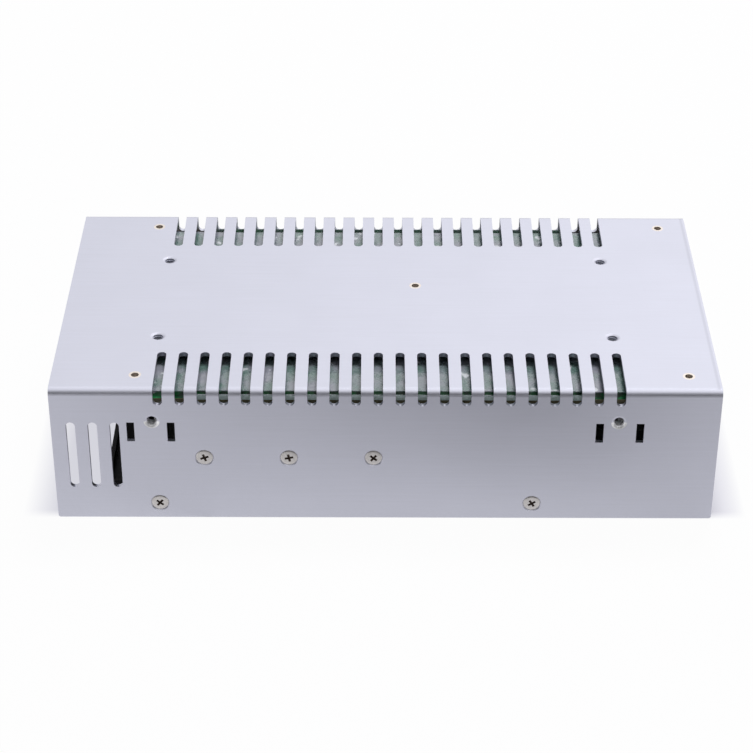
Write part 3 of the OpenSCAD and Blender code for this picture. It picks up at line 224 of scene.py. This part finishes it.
def settle(piece):
    """Puts a piece's place into its mesh."""
    take(piece)
    bpy.ops.object.transform_apply(location=True, rotation=True, scale=True)


def outwards(piece):
    """Merges doubles and turns all the faces outwards."""
    take(piece)
    bpy.ops.object.mode_set(mode="EDIT")
    bpy.ops.mesh.select_all(action="SELECT")
    bpy.ops.mesh.remove_doubles(threshold=0.002 * mm)
    bpy.ops.mesh.normals_make_consistent(inside=False)
    bpy.ops.object.mode_set(mode="OBJECT")


def copy_to(piece, name, place):
    """A copy with its own mesh, moved by the matrix place."""
    other = piece.copy()
    other.data = piece.data.copy()
    other.name = other.data.name = name
    other.data.transform(place)
    bpy.context.scene.collection.objects.link(other)
    return other


def hand_over(piece, body, slot, *replaced):
    """Gives a finished piece its body and hides the CAD nodes it stands for; slot is not used."""
    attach(piece, body)
    if replaced:
        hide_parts(*replaced)


def on_wall(x, z, side):
    """Matrix of a place on a side wall's outer face, its own +Z pointing outwards."""
    return Matrix.Translation((x, side * half_w, z)) @ Matrix.Rotation(math.radians(-90 * side), 4, "X")


bore_r, collar_l, pitch = 1.65 * mm, 3.6 * mm, 0.7 * mm
deselect()
bpy.ops.mesh.primitive_circle_add(vertices=3, radius=0.22 * mm, fill_type="NOTHING",
                                  location=(bore_r - 0.02 * mm, 0, -collar_l + 0.1 * mm),
                                  rotation=(math.radians(90), 0, 0))
ridge = bpy.context.object
settle(ridge)
ridge.modifiers.new("wind", "SCREW")
ridge.modifiers["wind"].screw_offset = pitch
ridge.modifiers["wind"].iterations = 4
ridge.modifiers["wind"].steps = ridge.modifiers["wind"].render_steps = 24
bpy.ops.object.modifier_apply(modifier="wind")
bpy.ops.object.mode_set(mode="EDIT")
bpy.ops.mesh.select_all(action="DESELECT")
bpy.ops.mesh.select_non_manifold(extend=False, use_boundary=True)
bpy.ops.mesh.edge_face_add()
bpy.ops.object.mode_set(mode="OBJECT")
outwards(ridge)
ridge.data.materials.append(aluminium)
corners = [(i, j) for i in (-1, 1) for j in (-1, 1)]
base_places = [Matrix.Translation((i * mount_x, j * mount_y, case_h)) for i, j in corners]
wall_places = [on_wall(i * mount_x, side_mount_z, j) for i, j in corners]
for number, spot in enumerate(base_places + wall_places, 1):
    hand_over(copy_to(ridge, f"mount_thread_{number}", spot), "power_supply", "chassis")
bpy.data.objects.remove(ridge)


# ---- Countersunk screws ----
# M3 steel screws with a bright plating hold the heat bars, the cover and the voltage selector. The
# head is cold formed, a little domed, with a tapered cross punched into it.

head_r, head_h, sink, shank_r, tip = 2.8 * mm, 1.45 * mm, 0.28 * mm, 1.5 * mm, 0.5 * mm
dome = ((0.18, 0.13), (0.25, 0.08), (0.5, 0.04))
plated, tree, shader = finish("bright_plating", srgb(206, 203, 204), 0.34, 0.85)
wear_and_shade_mottle = noise(tree, 1300.0, 3.0)
tone_by(tree, shader, wear_and_shade_mottle, srgb(178, 174, 174), srgb(226, 223, 222))
wire(tree, maths(tree, "MULTIPLY_ADD", wear_and_shade_mottle, 0.25, 0.2), shader, "Roughness")
raise_by(tree, shader, wear_and_shade_mottle, 0.02 * mm, 0.5)

# Painted shade: the faces of the cross recess are painted dark brown.
recess, tree, shader = finish("recess_painted_shade", srgb(92, 76, 70), 0.6, 0.5)
wear_and_shade_mottle = noise(tree, 3000.0, 2.0)
tone_by(tree, shader, wear_and_shade_mottle, srgb(58, 46, 42), srgb(138, 122, 112))


def pick_faces(piece, test):
    """In edit mode, selects the faces whose corners all pass the test."""
    mesh = bmesh.from_edit_mesh(piece.data)
    for face in mesh.faces:
        face.select_set(all(test(v.co) for v in face.verts))
    mesh.select_flush(True)
    bmesh.update_edit_mesh(piece.data)


def csk_screw(length):
    """One countersunk screw, its rim just under z = 0 and its shank pointing down."""
    deselect()
    bpy.ops.mesh.primitive_cylinder_add(vertices=48, radius=head_r, depth=head_h,
                                        location=(0, 0, -sink - head_h / 2))
    screw = bpy.context.object
    settle(screw)
    bpy.ops.object.mode_set(mode="EDIT")
    pick_faces(screw, lambda co: co.z < -sink - head_h + 0.01 * mm)
    bpy.ops.transform.resize(value=(shank_r / head_r, shank_r / head_r, 1))
    straight = length - head_h - sink - tip
    bpy.ops.mesh.extrude_region_move(TRANSFORM_OT_translate={"value": (0, 0, -straight)})
    bpy.ops.mesh.extrude_region_move(TRANSFORM_OT_translate={"value": (0, 0, -tip)})
    bpy.ops.transform.resize(value=(0.7, 0.7, 1))
    pick_faces(screw, lambda co: co.z > -sink - 0.01 * mm)
    for step, lift in dome:
        bpy.ops.mesh.inset(thickness=step * mm)
        bpy.ops.transform.translate(value=(0, 0, lift * mm))
    bpy.ops.object.mode_set(mode="OBJECT")
    cut_cross(screw, -sink + sum(lift for step, lift in dome) * mm)
    return screw


def cut_cross(screw, top):
    """Punches a tapered cross into a screw's head and paints its faces dark as painted shade."""
    blades = []
    for turn in (0, 90):
        deselect()
        bpy.ops.mesh.primitive_cube_add(size=1, location=(0, 0, top - 0.35 * mm),
                                        rotation=(0, 0, math.radians(turn)))
        blade = bpy.context.object
        blade.scale = (3.3 * mm, 0.85 * mm, 1.5 * mm)
        settle(blade)
        bpy.ops.object.mode_set(mode="EDIT")
        pick_faces(blade, lambda co: co.z < top - 0.5 * mm)
        bpy.ops.transform.resize(value=(0.45, 0.7, 1) if turn == 0 else (0.7, 0.45, 1))
        take(screw)
        cut = screw.modifiers.new("cross", "BOOLEAN")
        cut.operation, cut.object, cut.solver = "DIFFERENCE", blade, "EXACT"
        bpy.ops.object.modifier_apply(modifier="cross")
        blades.append(blade)
    for blade in blades:
        bpy.data.objects.remove(blade)
    outwards(screw)
    screw.data.materials.append(plated)
    screw.data.materials.append(recess)
    for face in screw.data.polygons:
        inside = math.hypot(face.center.x, face.center.y) < 1.7 * mm and top - 1.3 * mm < face.center.z
        if inside and (abs(face.normal.z) < 0.9 or face.center.z < top - 0.3 * mm):
            face.material_index = 1
    take(screw)
    bpy.ops.object.shade_smooth_by_angle(angle=math.radians(35))


bar_x, bar_z, bar_pitch = case_low.x + 76.3 * mm, 23.8 * mm, 27.4 * mm
cover_screw_z, cover_screw_x = 5.8 * mm, (33.7 * mm, 155.7 * mm)
selector_low, selector_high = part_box("selector_plate")
selector_x, selector_z = (selector_low.x + selector_high.x) / 2, (selector_low.z + selector_high.z) / 2
ear_x = 14.5 * mm
sets = (
    ("front_bar_screws", 6.5 * mm, [(bar_x + i * bar_pitch, bar_z, -1) for i in (-1, 0, 1)]),
    ("rear_bar_screws", 6.5 * mm, [(bar_x + i * bar_pitch, bar_z, 1) for i in (-1, 0, 1)]),
    ("cover_screws", 5 * mm, [(case_low.x + i, cover_screw_z, j) for i in cover_screw_x for j in (-1, 1)]),
    ("selector_screws", 5 * mm, [(selector_x + i * ear_x, selector_z, 1) for i in (-1, 1)]),
)
turns = (12, 50, 78, 33, 64, 20)
for node, length, places in sets:
    model = csk_screw(length)
    for number, (px, pz, side) in enumerate(places, 1):
        turn = Matrix.Rotation(math.radians(turns[(number + len(node)) % 6]), 4, "Z")
        piece = copy_to(model, f"{node[:-1]}_{number}", on_wall(px, pz, side) @ turn)
        hand_over(piece, "power_supply", node, node)
    bpy.data.objects.remove(model)


# ---- Standoffs ----
# Turned brass, riveted into the base plate; the rivet's ring shows on the base.

brass, tree, shader = finish("turned_brass", srgb(226, 216, 204), 0.35, 0.9)
spin = noise(tree, 1800.0, 3.0)
tone_by(tree, shader, spin, srgb(214, 198, 182), srgb(238, 235, 234))
wire(tree, maths(tree, "MULTIPLY_ADD", spin, 0.3, 0.2), shader, "Roughness")
dress(brass, "standoffs")


# ---- Insulating film ----
# Milky polyester film over the solder side, in shallow waves. Its colour goes in patches from the
# board's green to a pale grey-lilac that is partly painted reflection, with a few painted glints.
# The flaps are folded over the board's long edges; their paler colour is painted light.

film, tree, shader = finish("milky_film", srgb(196, 206, 204), 0.25, IOR=1.6, Coat_Weight=1.0,
                            Coat_Roughness=0.1, Alpha=0.62)
wave = noise(tree, 110.0, 2.0)
fine = noise(tree, 420.0, 2.0)
# Partly painted reflection: the pale grey-lilac patches stand for the surround seen on the film's waves.
board_and_reflection_patch = ramp(tree, wave, 0.38, 0.62)
sheet = blend_colours(tree, board_and_reflection_patch, (*srgb(110, 138, 132), 1), (*srgb(160, 162, 174), 1))
# Painted highlights: a few near-white specks stand for glints on the film's creases.
painted_glint = noise(tree, 210.0, 1.0)
painted_glint = ramp(tree, painted_glint, 0.655, 0.7)
sheet = blend_colours(tree, painted_glint, sheet, (*srgb(236, 240, 246), 1))
y, z = axes_of(tree)[1:3]
film_low, film_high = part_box("insulating_film")
flap_side = within(tree, maths(tree, "ABSOLUTE", y), film_high.y, 0.25 * mm, 0.1 * mm)
flap_drop = within(tree, z, film_low.z, film_high.z - film_low.z - 0.15 * mm, 0.1 * mm)
flap = maths(tree, "MULTIPLY", flap_side, flap_drop)
# Painted light: the flaps are painted paler for light that shines through the film.
wire(tree, blend_colours(tree, flap, sheet, (*srgb(228, 248, 240), 1)), shader, "Base Color")
wire(tree, maths(tree, "MULTIPLY_ADD", flap, 0.38, 0.62), shader, "Alpha")
wire(tree, maths(tree, "MULTIPLY_ADD", fine, 0.3, 0.1), shader, "Roughness")
raise_by(tree, shader, maths(tree, "MULTIPLY_ADD", fine, 0.35, wave), 1.2 * mm, 1.0)
dress(film, "insulating_film")


# ---- Circuit board ----
# Green solder resist over copper tracks on glass epoxy, with tinned solder joints.

board_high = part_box("circuit_board")[1]
solder_face = board_high.z - 1.1 * mm
resist, tree, shader = finish("green_resist", srgb(34, 104, 70), 0.3, Coat_Weight=0.3, Coat_Roughness=0.15)
y, z = axes_of(tree)[1:3]
tracks = put(tree, "TexVoronoi", {"Vector": place_of(tree), "Scale": 130.0}, distance="MANHATTAN",
             feature="DISTANCE_TO_EDGE").outputs[0]
copper = ramp(tree, tracks, 0.08, 0.12)
base = blend_colours(tree, copper, (*srgb(12, 62, 34), 1), (*srgb(30, 112, 62), 1))
joint = ramp(tree, z, solder_face + 0.03 * mm, solder_face + 0.08 * mm)
cut_edge = within(tree, maths(tree, "ABSOLUTE", y), board_high.y, 0.03 * mm, 0.02 * mm)
base = blend_colours(tree, cut_edge, base, (*srgb(146, 138, 108), 1))
wire(tree, blend_colours(tree, joint, base, (*srgb(196, 198, 200), 1)), shader, "Base Color")
wire(tree, maths(tree, "MULTIPLY", joint, 0.9), shader, "Metallic")
raise_by(tree, shader, copper, 0.05 * mm, 0.6)
dress(resist, "circuit_board")


# ---- Screws inside the case, and bare leads ----
# Pan-head steel screws hold the board, the devices and the wires. Legs are tinned copper wire.

steel, tree, shader = finish("plated_steel", srgb(198, 196, 190), 0.35, 0.9)
spots = noise(tree, 1500.0, 3.0)
tone_by(tree, shader, spots, srgb(170, 168, 160), srgb(216, 214, 208))
wire(tree, maths(tree, "MULTIPLY_ADD", spots, 0.3, 0.2), shader, "Roughness")
dress(steel, "board_screws", "device_screws", "terminal_screws", "terminal_clamps", "component_leads",
      "fuse_caps", "fuse_clips")


# ---- Terminal strip ----
# Black glass-filled plastic, moulded with a fine spark-eroded skin. Tinned brass plates carry the
# clamps and screws. The lid snaps into two ears and turns on its barrel.

moulded_skin, start = new_group(
    "moulded_skin",
    [("Colour", "Color", (0.1, 0.1, 0.1, 1)), ("Worn", "Color", (0.2, 0.2, 0.2, 1)),
     ("Texture", "Float", 2500.0), ("Roughness", "Float", 0.5)],
    [("Colour", "Color"), ("Roughness", "Float"), ("Height", "Float")])
skin = noise(moulded_skin, start.outputs["Texture"], 2.0)
flow = noise(moulded_skin, 120.0, 3.0)
faded = ramp(moulded_skin, flow, 0.45, 0.8)
tone = blend_colours(moulded_skin, faded, start.outputs["Colour"], start.outputs["Worn"])
rough = maths(moulded_skin, "MULTIPLY_ADD", maths(moulded_skin, "SUBTRACT", skin, 0.5), 0.2,
              start.outputs["Roughness"])
leave_group(moulded_skin, {"Colour": tone, "Roughness": rough, "Height": skin})


def plastic(name, colour, worn, roughness=0.5, texture=2500.0, depth=0.02, **sockets):
    """A moulded plastic with its skin, fade and sheen."""
    material, tree, shader = finish(name, colour, roughness, **sockets)
    skin = use_group(tree, moulded_skin, {"Colour": (*colour, 1), "Worn": (*worn, 1),
                                          "Texture": texture, "Roughness": roughness})
    wire(tree, skin["Colour"], shader, "Base Color")
    wire(tree, skin["Roughness"], shader, "Roughness")
    raise_by(tree, shader, skin["Height"], depth * mm, 0.6)
    return material


black_moulding = plastic("black_moulding", srgb(15, 14, 15), srgb(26, 25, 26),
                         Specular_IOR_Level=0.15)
dress(black_moulding, "terminal_block", "terminal_lid", "filter_base", "transformer_bobbin")
tinned, tree, shader = finish("tinned_brass", srgb(206, 200, 180), 0.3, 0.9)
spots = noise(tree, 900.0, 4.0)
tone_by(tree, shader, spots, srgb(186, 176, 146), srgb(222, 218, 206))
wire(tree, maths(tree, "MULTIPLY_ADD", spots, 0.35, 0.15), shader, "Roughness")
dress(tinned, "terminal_plates")


# ---- Voltage trimmer and power lamp ----
# Blue moulded body with a white cross-slotted rotor, and a 3 mm lamp of clear green resin.

dress(plastic("blue_trimmer", srgb(38, 84, 168), srgb(52, 98, 182), 0.45), "trimmer_body")
dress(plastic("white_rotor", srgb(228, 227, 220), srgb(214, 212, 202), 0.5), "trimmer_rotor")
lamp, tree, shader = finish("green_resin", srgb(120, 214, 118), 0.12, IOR=1.54, Transmission_Weight=0.55)
swirl = noise(tree, 700.0, 2.0)
tone_by(tree, shader, swirl, srgb(104, 204, 104), srgb(140, 224, 136))
dress(lamp, "power_led")


# ---- Heat bars, pads and power devices ----
# Sawn aluminium bars carry the devices to the side walls. Each device is black epoxy on a grey pad.

sawn, tree, shader = finish("sawn_aluminium", srgb(206, 208, 212), 0.4, 0.8)
grain = use_group(tree, sheet_grain, {"Colour": (*srgb(206, 208, 212), 1), "Along": (60, 900, 900),
                                      "Streaks": 0.2, "Clouds": 0.1, "Roughness": 0.4})
wire(tree, grain["Colour"], shader, "Base Color")
wire(tree, grain["Roughness"], shader, "Roughness")
raise_by(tree, shader, grain["Height"], 0.03 * mm, 0.5)
dress(sawn, "front_heat_bar", "rear_heat_bar", "bridge_heatsink")
dress(plastic("thermal_pad", srgb(168, 176, 190), srgb(188, 194, 204), 0.8, 1200.0, 0.05), "thermal_pads")
epoxy = plastic("black_epoxy", srgb(28, 28, 30), srgb(44, 44, 46), 0.55, 4000.0)
dress(epoxy, "switching_transistors", "rectifier_diodes", "bridge_rectifier", "control_chips")


# ---- Transformers ----
# Grey ferrite E cores on a black bobbin. The winding is wrapped in yellow polyester tape whose
# laps show as thin edges.

ferrite, tree, shader = finish("grey_ferrite", srgb(70, 70, 74), 0.7)
grit = noise(tree, 1800.0, 4.0)
tone_by(tree, shader, grit, srgb(52, 52, 56), srgb(90, 90, 94))
raise_by(tree, shader, grit, 0.06 * mm, 0.7)
dress(ferrite, "transformer_core")
tape, tree, shader = finish("yellow_tape", srgb(222, 176, 46), 0.3, Coat_Weight=0.25)
lap = put(tree, "TexWave", {"Vector": place_of(tree), "Scale": 22.0, "Distortion": 1.2, "Detail": 1.0},
          bands_direction="Y").outputs[1]
edge = ramp(tree, lap, 0.93, 1.0)
tone_by(tree, shader, edge, srgb(226, 182, 52), srgb(184, 134, 26))
raise_by(tree, shader, lap, 0.1 * mm, 0.5)
dress(tape, "transformer_winding", "drive_transformer")


# ---- Chokes ----
# A painted iron powder ring and a painted ferrite ring, both wound with enamelled copper wire.

def painted_core(name, colour, chip):
    material, tree, shader = finish(name, colour, 0.4)
    grit = noise(tree, 900.0, 4.0)
    bare_chips_and_painted_lip_highlight = ramp(tree, grit, 0.64, 0.68)
    tone_by(tree, shader, bare_chips_and_painted_lip_highlight, colour, chip)
    raise_by(tree, shader, grit, 0.08 * mm, 0.5)
    return material


dress(painted_core("yellow_core_paint", srgb(214, 190, 62), srgb(120, 104, 60)), "choke_core")
dress(painted_core("green_core_paint", srgb(44, 108, 66), srgb(60, 66, 62)), "filter_core")
enamel, tree, shader = finish("enamelled_copper", srgb(176, 92, 44), 0.25, 0.7, Coat_Weight=0.5)
run = noise(tree, 500.0, 2.0)
tone_by(tree, shader, run, srgb(150, 70, 30), srgb(204, 118, 62))
dress(enamel, "choke_winding", "filter_windings", "fan_stator")


# ---- Mains input parts ----
# Boxed film capacitor, dipped disc capacitors and thermistor, and a glass fuse in spring clips.

dress(plastic("yellow_box", srgb(226, 186, 44), srgb(214, 172, 36), 0.35, 3000.0), "mains_capacitor")


def dipped(name, colour, deep):
    """Resin coat that has run while it dried."""
    material, tree, shader = finish(name, colour, 0.25, Coat_Weight=0.3)
    runs = noise(tree, 260.0, 3.0)
    tone_by(tree, shader, runs, deep, colour)
    raise_by(tree, shader, runs, 0.3 * mm, 0.5)
    return material


dress(dipped("blue_dip", srgb(58, 116, 186), srgb(30, 82, 150)), "safety_capacitors")
dress(dipped("green_dip", srgb(44, 60, 44), srgb(24, 36, 26)), "inrush_thermistor")
glass, tree, shader = finish("fuse_glass_tube", srgb(226, 234, 234), 0.05, Alpha=0.35, Coat_Weight=0.5)
haze = noise(tree, 900.0, 2.0)
wire(tree, maths(tree, "MULTIPLY_ADD", haze, 0.15, 0.0), shader, "Roughness")
dress(glass, "fuse_glass")


# ---- Electrolytic capacitors ----
# Aluminium cans in a shrunk sleeve. The can's end is bare inside the sleeve's curl and scored.

def can_finish(name, sleeve, fade):
    """Sleeve colour on the sides, aluminium on the free end."""
    material, tree, shader = finish(name, sleeve, 0.3, Coat_Weight=0.2)
    facing = put(tree, "SeparateXYZ", {0: put(tree, "TexCoord").outputs["Normal"]}).outputs[2]
    end = ramp(tree, facing, -0.9, -0.98)
    shrink = noise(tree, 300.0, 2.0)
    colour = blend_colours(tree, shrink, (*sleeve, 1), (*fade, 1))
    wire(tree, blend_colours(tree, end, colour, (*srgb(190, 192, 196), 1)), shader, "Base Color")
    wire(tree, maths(tree, "MULTIPLY", end, 0.85), shader, "Metallic")
    raise_by(tree, shader, shrink, 0.1 * mm, 0.4)
    return material


dress(can_finish("blue_sleeve", srgb(26, 34, 58), srgb(34, 44, 72)), "reservoir_capacitors")
dress(can_finish("green_sleeve", srgb(24, 58, 34), srgb(32, 70, 42)), "output_capacitors")
dress(can_finish("black_sleeve", srgb(26, 26, 30), srgb(38, 38, 42)), "control_capacitors")


# ---- Resistors ----
# Lacquered ceramic bodies; the small ones carry plain colour bands.

dress(plastic("grey_lacquer", srgb(142, 152, 162), srgb(128, 136, 146), 0.4, 1500.0, 0.04), "power_resistors")
tan_colour = srgb(206, 178, 132)
tan, tree, shader = finish("tan_lacquer", tan_colour, 0.35)
y = axes_of(tree)[1]
res_low, res_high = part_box("small_resistors")
middle = (res_low.y + res_high.y) / 2
colour = (*tan_colour, 1)
for off, band in ((-2.4, srgb(122, 62, 34)), (-1.2, srgb(40, 40, 40)), (0, srgb(196, 60, 40)),
                  (2.4, srgb(190, 150, 60))):
    ring = within(tree, y, middle + off * mm, 0.25 * mm, 0.08 * mm)
    colour = blend_colours(tree, ring, colour, (*band, 1))
wire(tree, colour, shader, "Base Color")
lacquer = noise(tree, 1200.0, 2.0)
raise_by(tree, shader, lacquer, 0.05 * mm, 0.4)
dress(tan, "small_resistors")


# ---- Voltage selector ----
# A plated plate behind the rear wall's window, and a red slider in a black body.

zinc, tree, shader = finish("zinc_plating", srgb(188, 190, 194), 0.35, 0.85)
grain = use_group(tree, sheet_grain, {"Colour": (*srgb(188, 190, 194), 1), "Along": (400, 500, 500),
                                      "Streaks": 0.18, "Clouds": 0.16, "Roughness": 0.34})
wire(tree, grain["Colour"], shader, "Base Color")
wire(tree, grain["Roughness"], shader, "Roughness")
raise_by(tree, shader, grain["Height"], 0.02 * mm, 0.5)
dress(zinc, "selector_plate", "mesh_cover")
dress(plastic("selector_black", srgb(26, 26, 28), srgb(40, 40, 42), 0.45), "selector_body")
dress(plastic("selector_red", srgb(196, 34, 26), srgb(180, 30, 24), 0.3, 3500.0), "selector_slider")


# ---- Fan ----
# Black moulded frame and rotor, four blackened screws, two leads and a black nylon plug.

fan_black = plastic("fan_black", srgb(24, 24, 26), srgb(36, 36, 38), 0.42, 3200.0)
dress(fan_black, "fan_frame", "fan_rotor")
dark, tree, shader = finish("blackened_steel", srgb(38, 38, 42), 0.4, 0.6)
spots = noise(tree, 1800.0, 3.0)
tone_by(tree, shader, spots, srgb(26, 26, 30), srgb(62, 62, 66))
dress(dark, "fan_screws")
dress(plastic("red_insulation", srgb(186, 28, 22), srgb(170, 24, 20), 0.35), "fan_lead_red")
dress(plastic("black_insulation", srgb(26, 26, 26), srgb(36, 36, 36), 0.35), "fan_lead_black")
dress(plastic("black_nylon", srgb(26, 26, 26), srgb(40, 40, 40), 0.4), "fan_plug", "fan_header")


# ---- Floor, surround, lamp and camera ----
# A plain white floor that keeps the object's shadow. A painted shadow makes it darker and bluer
# under the case, and metal sees it dim in front and behind. The surround is pale above and behind
# and dim in front, and one soft lamp hangs overhead.

deselect()
bpy.ops.mesh.primitive_plane_add(size=8, location=(0, 0, -0.3 * mm))
floor = bpy.context.object
floor.name = "floor"
settle(floor)
pale, tree, shader = finish("pale_floor", (0.68, 0.68, 0.69), 1.0, Specular_IOR_Level=0.0)
tree.nodes.remove(shader)
x, y = axes_of(tree)[0:2]
off_y = maths(tree, "ABSOLUTE", y)
under = maths(tree, "MULTIPLY", within(tree, x, 0.0, case_high.x, 12 * mm),
              within(tree, off_y, 0.0, half_w - 4 * mm, 4 * mm))
away = ramp(tree, off_y, half_w + 8 * mm, half_w + 85 * mm)
left = ramp(tree, x, -160 * mm, 45 * mm)
right = ramp(tree, x, 120 * mm, 65 * mm, 0.2)
dim = maths(tree, "MULTIPLY", maths(tree, "MULTIPLY", left, right), away)
mirrored = maths(tree, "MULTIPLY_ADD", dim, -0.61, maths(tree, "MULTIPLY_ADD", x, -0.55, 0.945))
ray = put(tree, "LightPath").outputs
direct = maths(tree, "MAXIMUM", ray["Is Camera Ray"], ray["Is Transmission Ray"])
share = maths(tree, "MULTIPLY", maths(tree, "MAXIMUM", direct, ray["Is Glossy Ray"]), 0.97)
# Painted shadow: the floor is darker under the case, most of all under the cover, and bluer.
covered = maths(tree, "MULTIPLY", under, within(tree, x, case_high.x, 172 * mm, 6 * mm))
painted_floor_shadow = maths(tree, "MULTIPLY_ADD", covered, 0.64, maths(tree, "MULTIPLY", under, 0.3))
share = maths(tree, "MULTIPLY", share, maths(tree, "SUBTRACT", 1.0, painted_floor_shadow))
plain = put(tree, "BsdfDiffuse", {"Color": (0.64, 0.63, 0.69, 1)})
level = put(tree, "Mix", {0: ray["Is Glossy Ray"], 2: 1.0, 3: mirrored}).outputs[0]
tint = blend_colours(tree, under, (1, 1, 1, 1), (0.92, 0.92, 1, 1))
glow = put(tree, "Emission", {"Color": tint, "Strength": level})
mix = put(tree, "MixShader", {0: share, 1: plain.outputs[0], 2: glow.outputs[0]})
tree.links.new(mix.outputs[0], tree.nodes["Material Output"].inputs[0])
floor.data.materials.append(pale)

world = bpy.data.worlds.new("surround")
bpy.context.scene.world = world
world.use_nodes = True
tree = world.node_tree
tree.nodes.clear()
x, y, z = put(tree, "SeparateXYZ", {0: put(tree, "TexCoord").outputs["Generated"]}).outputs[0:3]
height = maths(tree, "MULTIPLY_ADD", y, 0.6, z)
level = ramp(tree, height, -0.3, 1.0, 0.12, 1.22, interpolation_type="SMOOTHSTEP")
level = maths(tree, "MULTIPLY", level, ramp(tree, x, -0.2, 0.2, 0.81, 1.18))
level = maths(tree, "MULTIPLY", level, ramp(tree, z, 0.45, 0.62, 0.85, 1.15))
ray = put(tree, "LightPath").outputs
level = put(tree, "Mix", {0: ray["Is Glossy Ray"], 2: 0.34, 3: level}).outputs[0]
seen = maths(tree, "MAXIMUM", ray["Is Camera Ray"], ray["Is Transmission Ray"])
soft = put(tree, "Background", {"Color": (1, 1, 1, 1), "Strength": level})
white = put(tree, "Background", {"Color": (1, 1, 1, 1), "Strength": 1.0})
mix = put(tree, "MixShader", {0: seen, 1: soft.outputs[0], 2: white.outputs[0]})
put(tree, "OutputWorld", {0: mix.outputs[0]})


def soft_lamp(name, place, aim, size, power):
    lamp = bpy.data.lights.new(name, "AREA")
    lamp.shape, lamp.size, lamp.energy = "DISK", size, power
    lamp_object = bpy.data.objects.new(name, lamp)
    lamp_object.location = place
    lamp_object.rotation_euler = (Vector(aim) - Vector(place)).to_track_quat("-Z", "Y").to_euler()
    lamp_object.visible_glossy = False
    bpy.context.scene.collection.objects.link(lamp_object)


soft_lamp("overhead_lamp", (0.2, 0.5, 1.3), (0, 0, 0.03), 0.5, 16.0)

camera = bpy.data.cameras.new("camera")
camera.sensor_width = 36
camera.lens = 107.12
camera.shift_x, camera.shift_y = -0.0112, -0.00894
camera.clip_start = 0.01
camera_object = bpy.data.objects.new("camera", camera)
camera_object.location = (-0.00366, -0.65174, 0.44226)
camera_object.rotation_euler = [math.radians(a) for a in (57.1112, -0.2921, -0.1368)]
bpy.context.scene.collection.objects.link(camera_object)
bpy.context.scene.camera = camera_object
bpy.context.scene.view_settings.view_transform = "Standard"
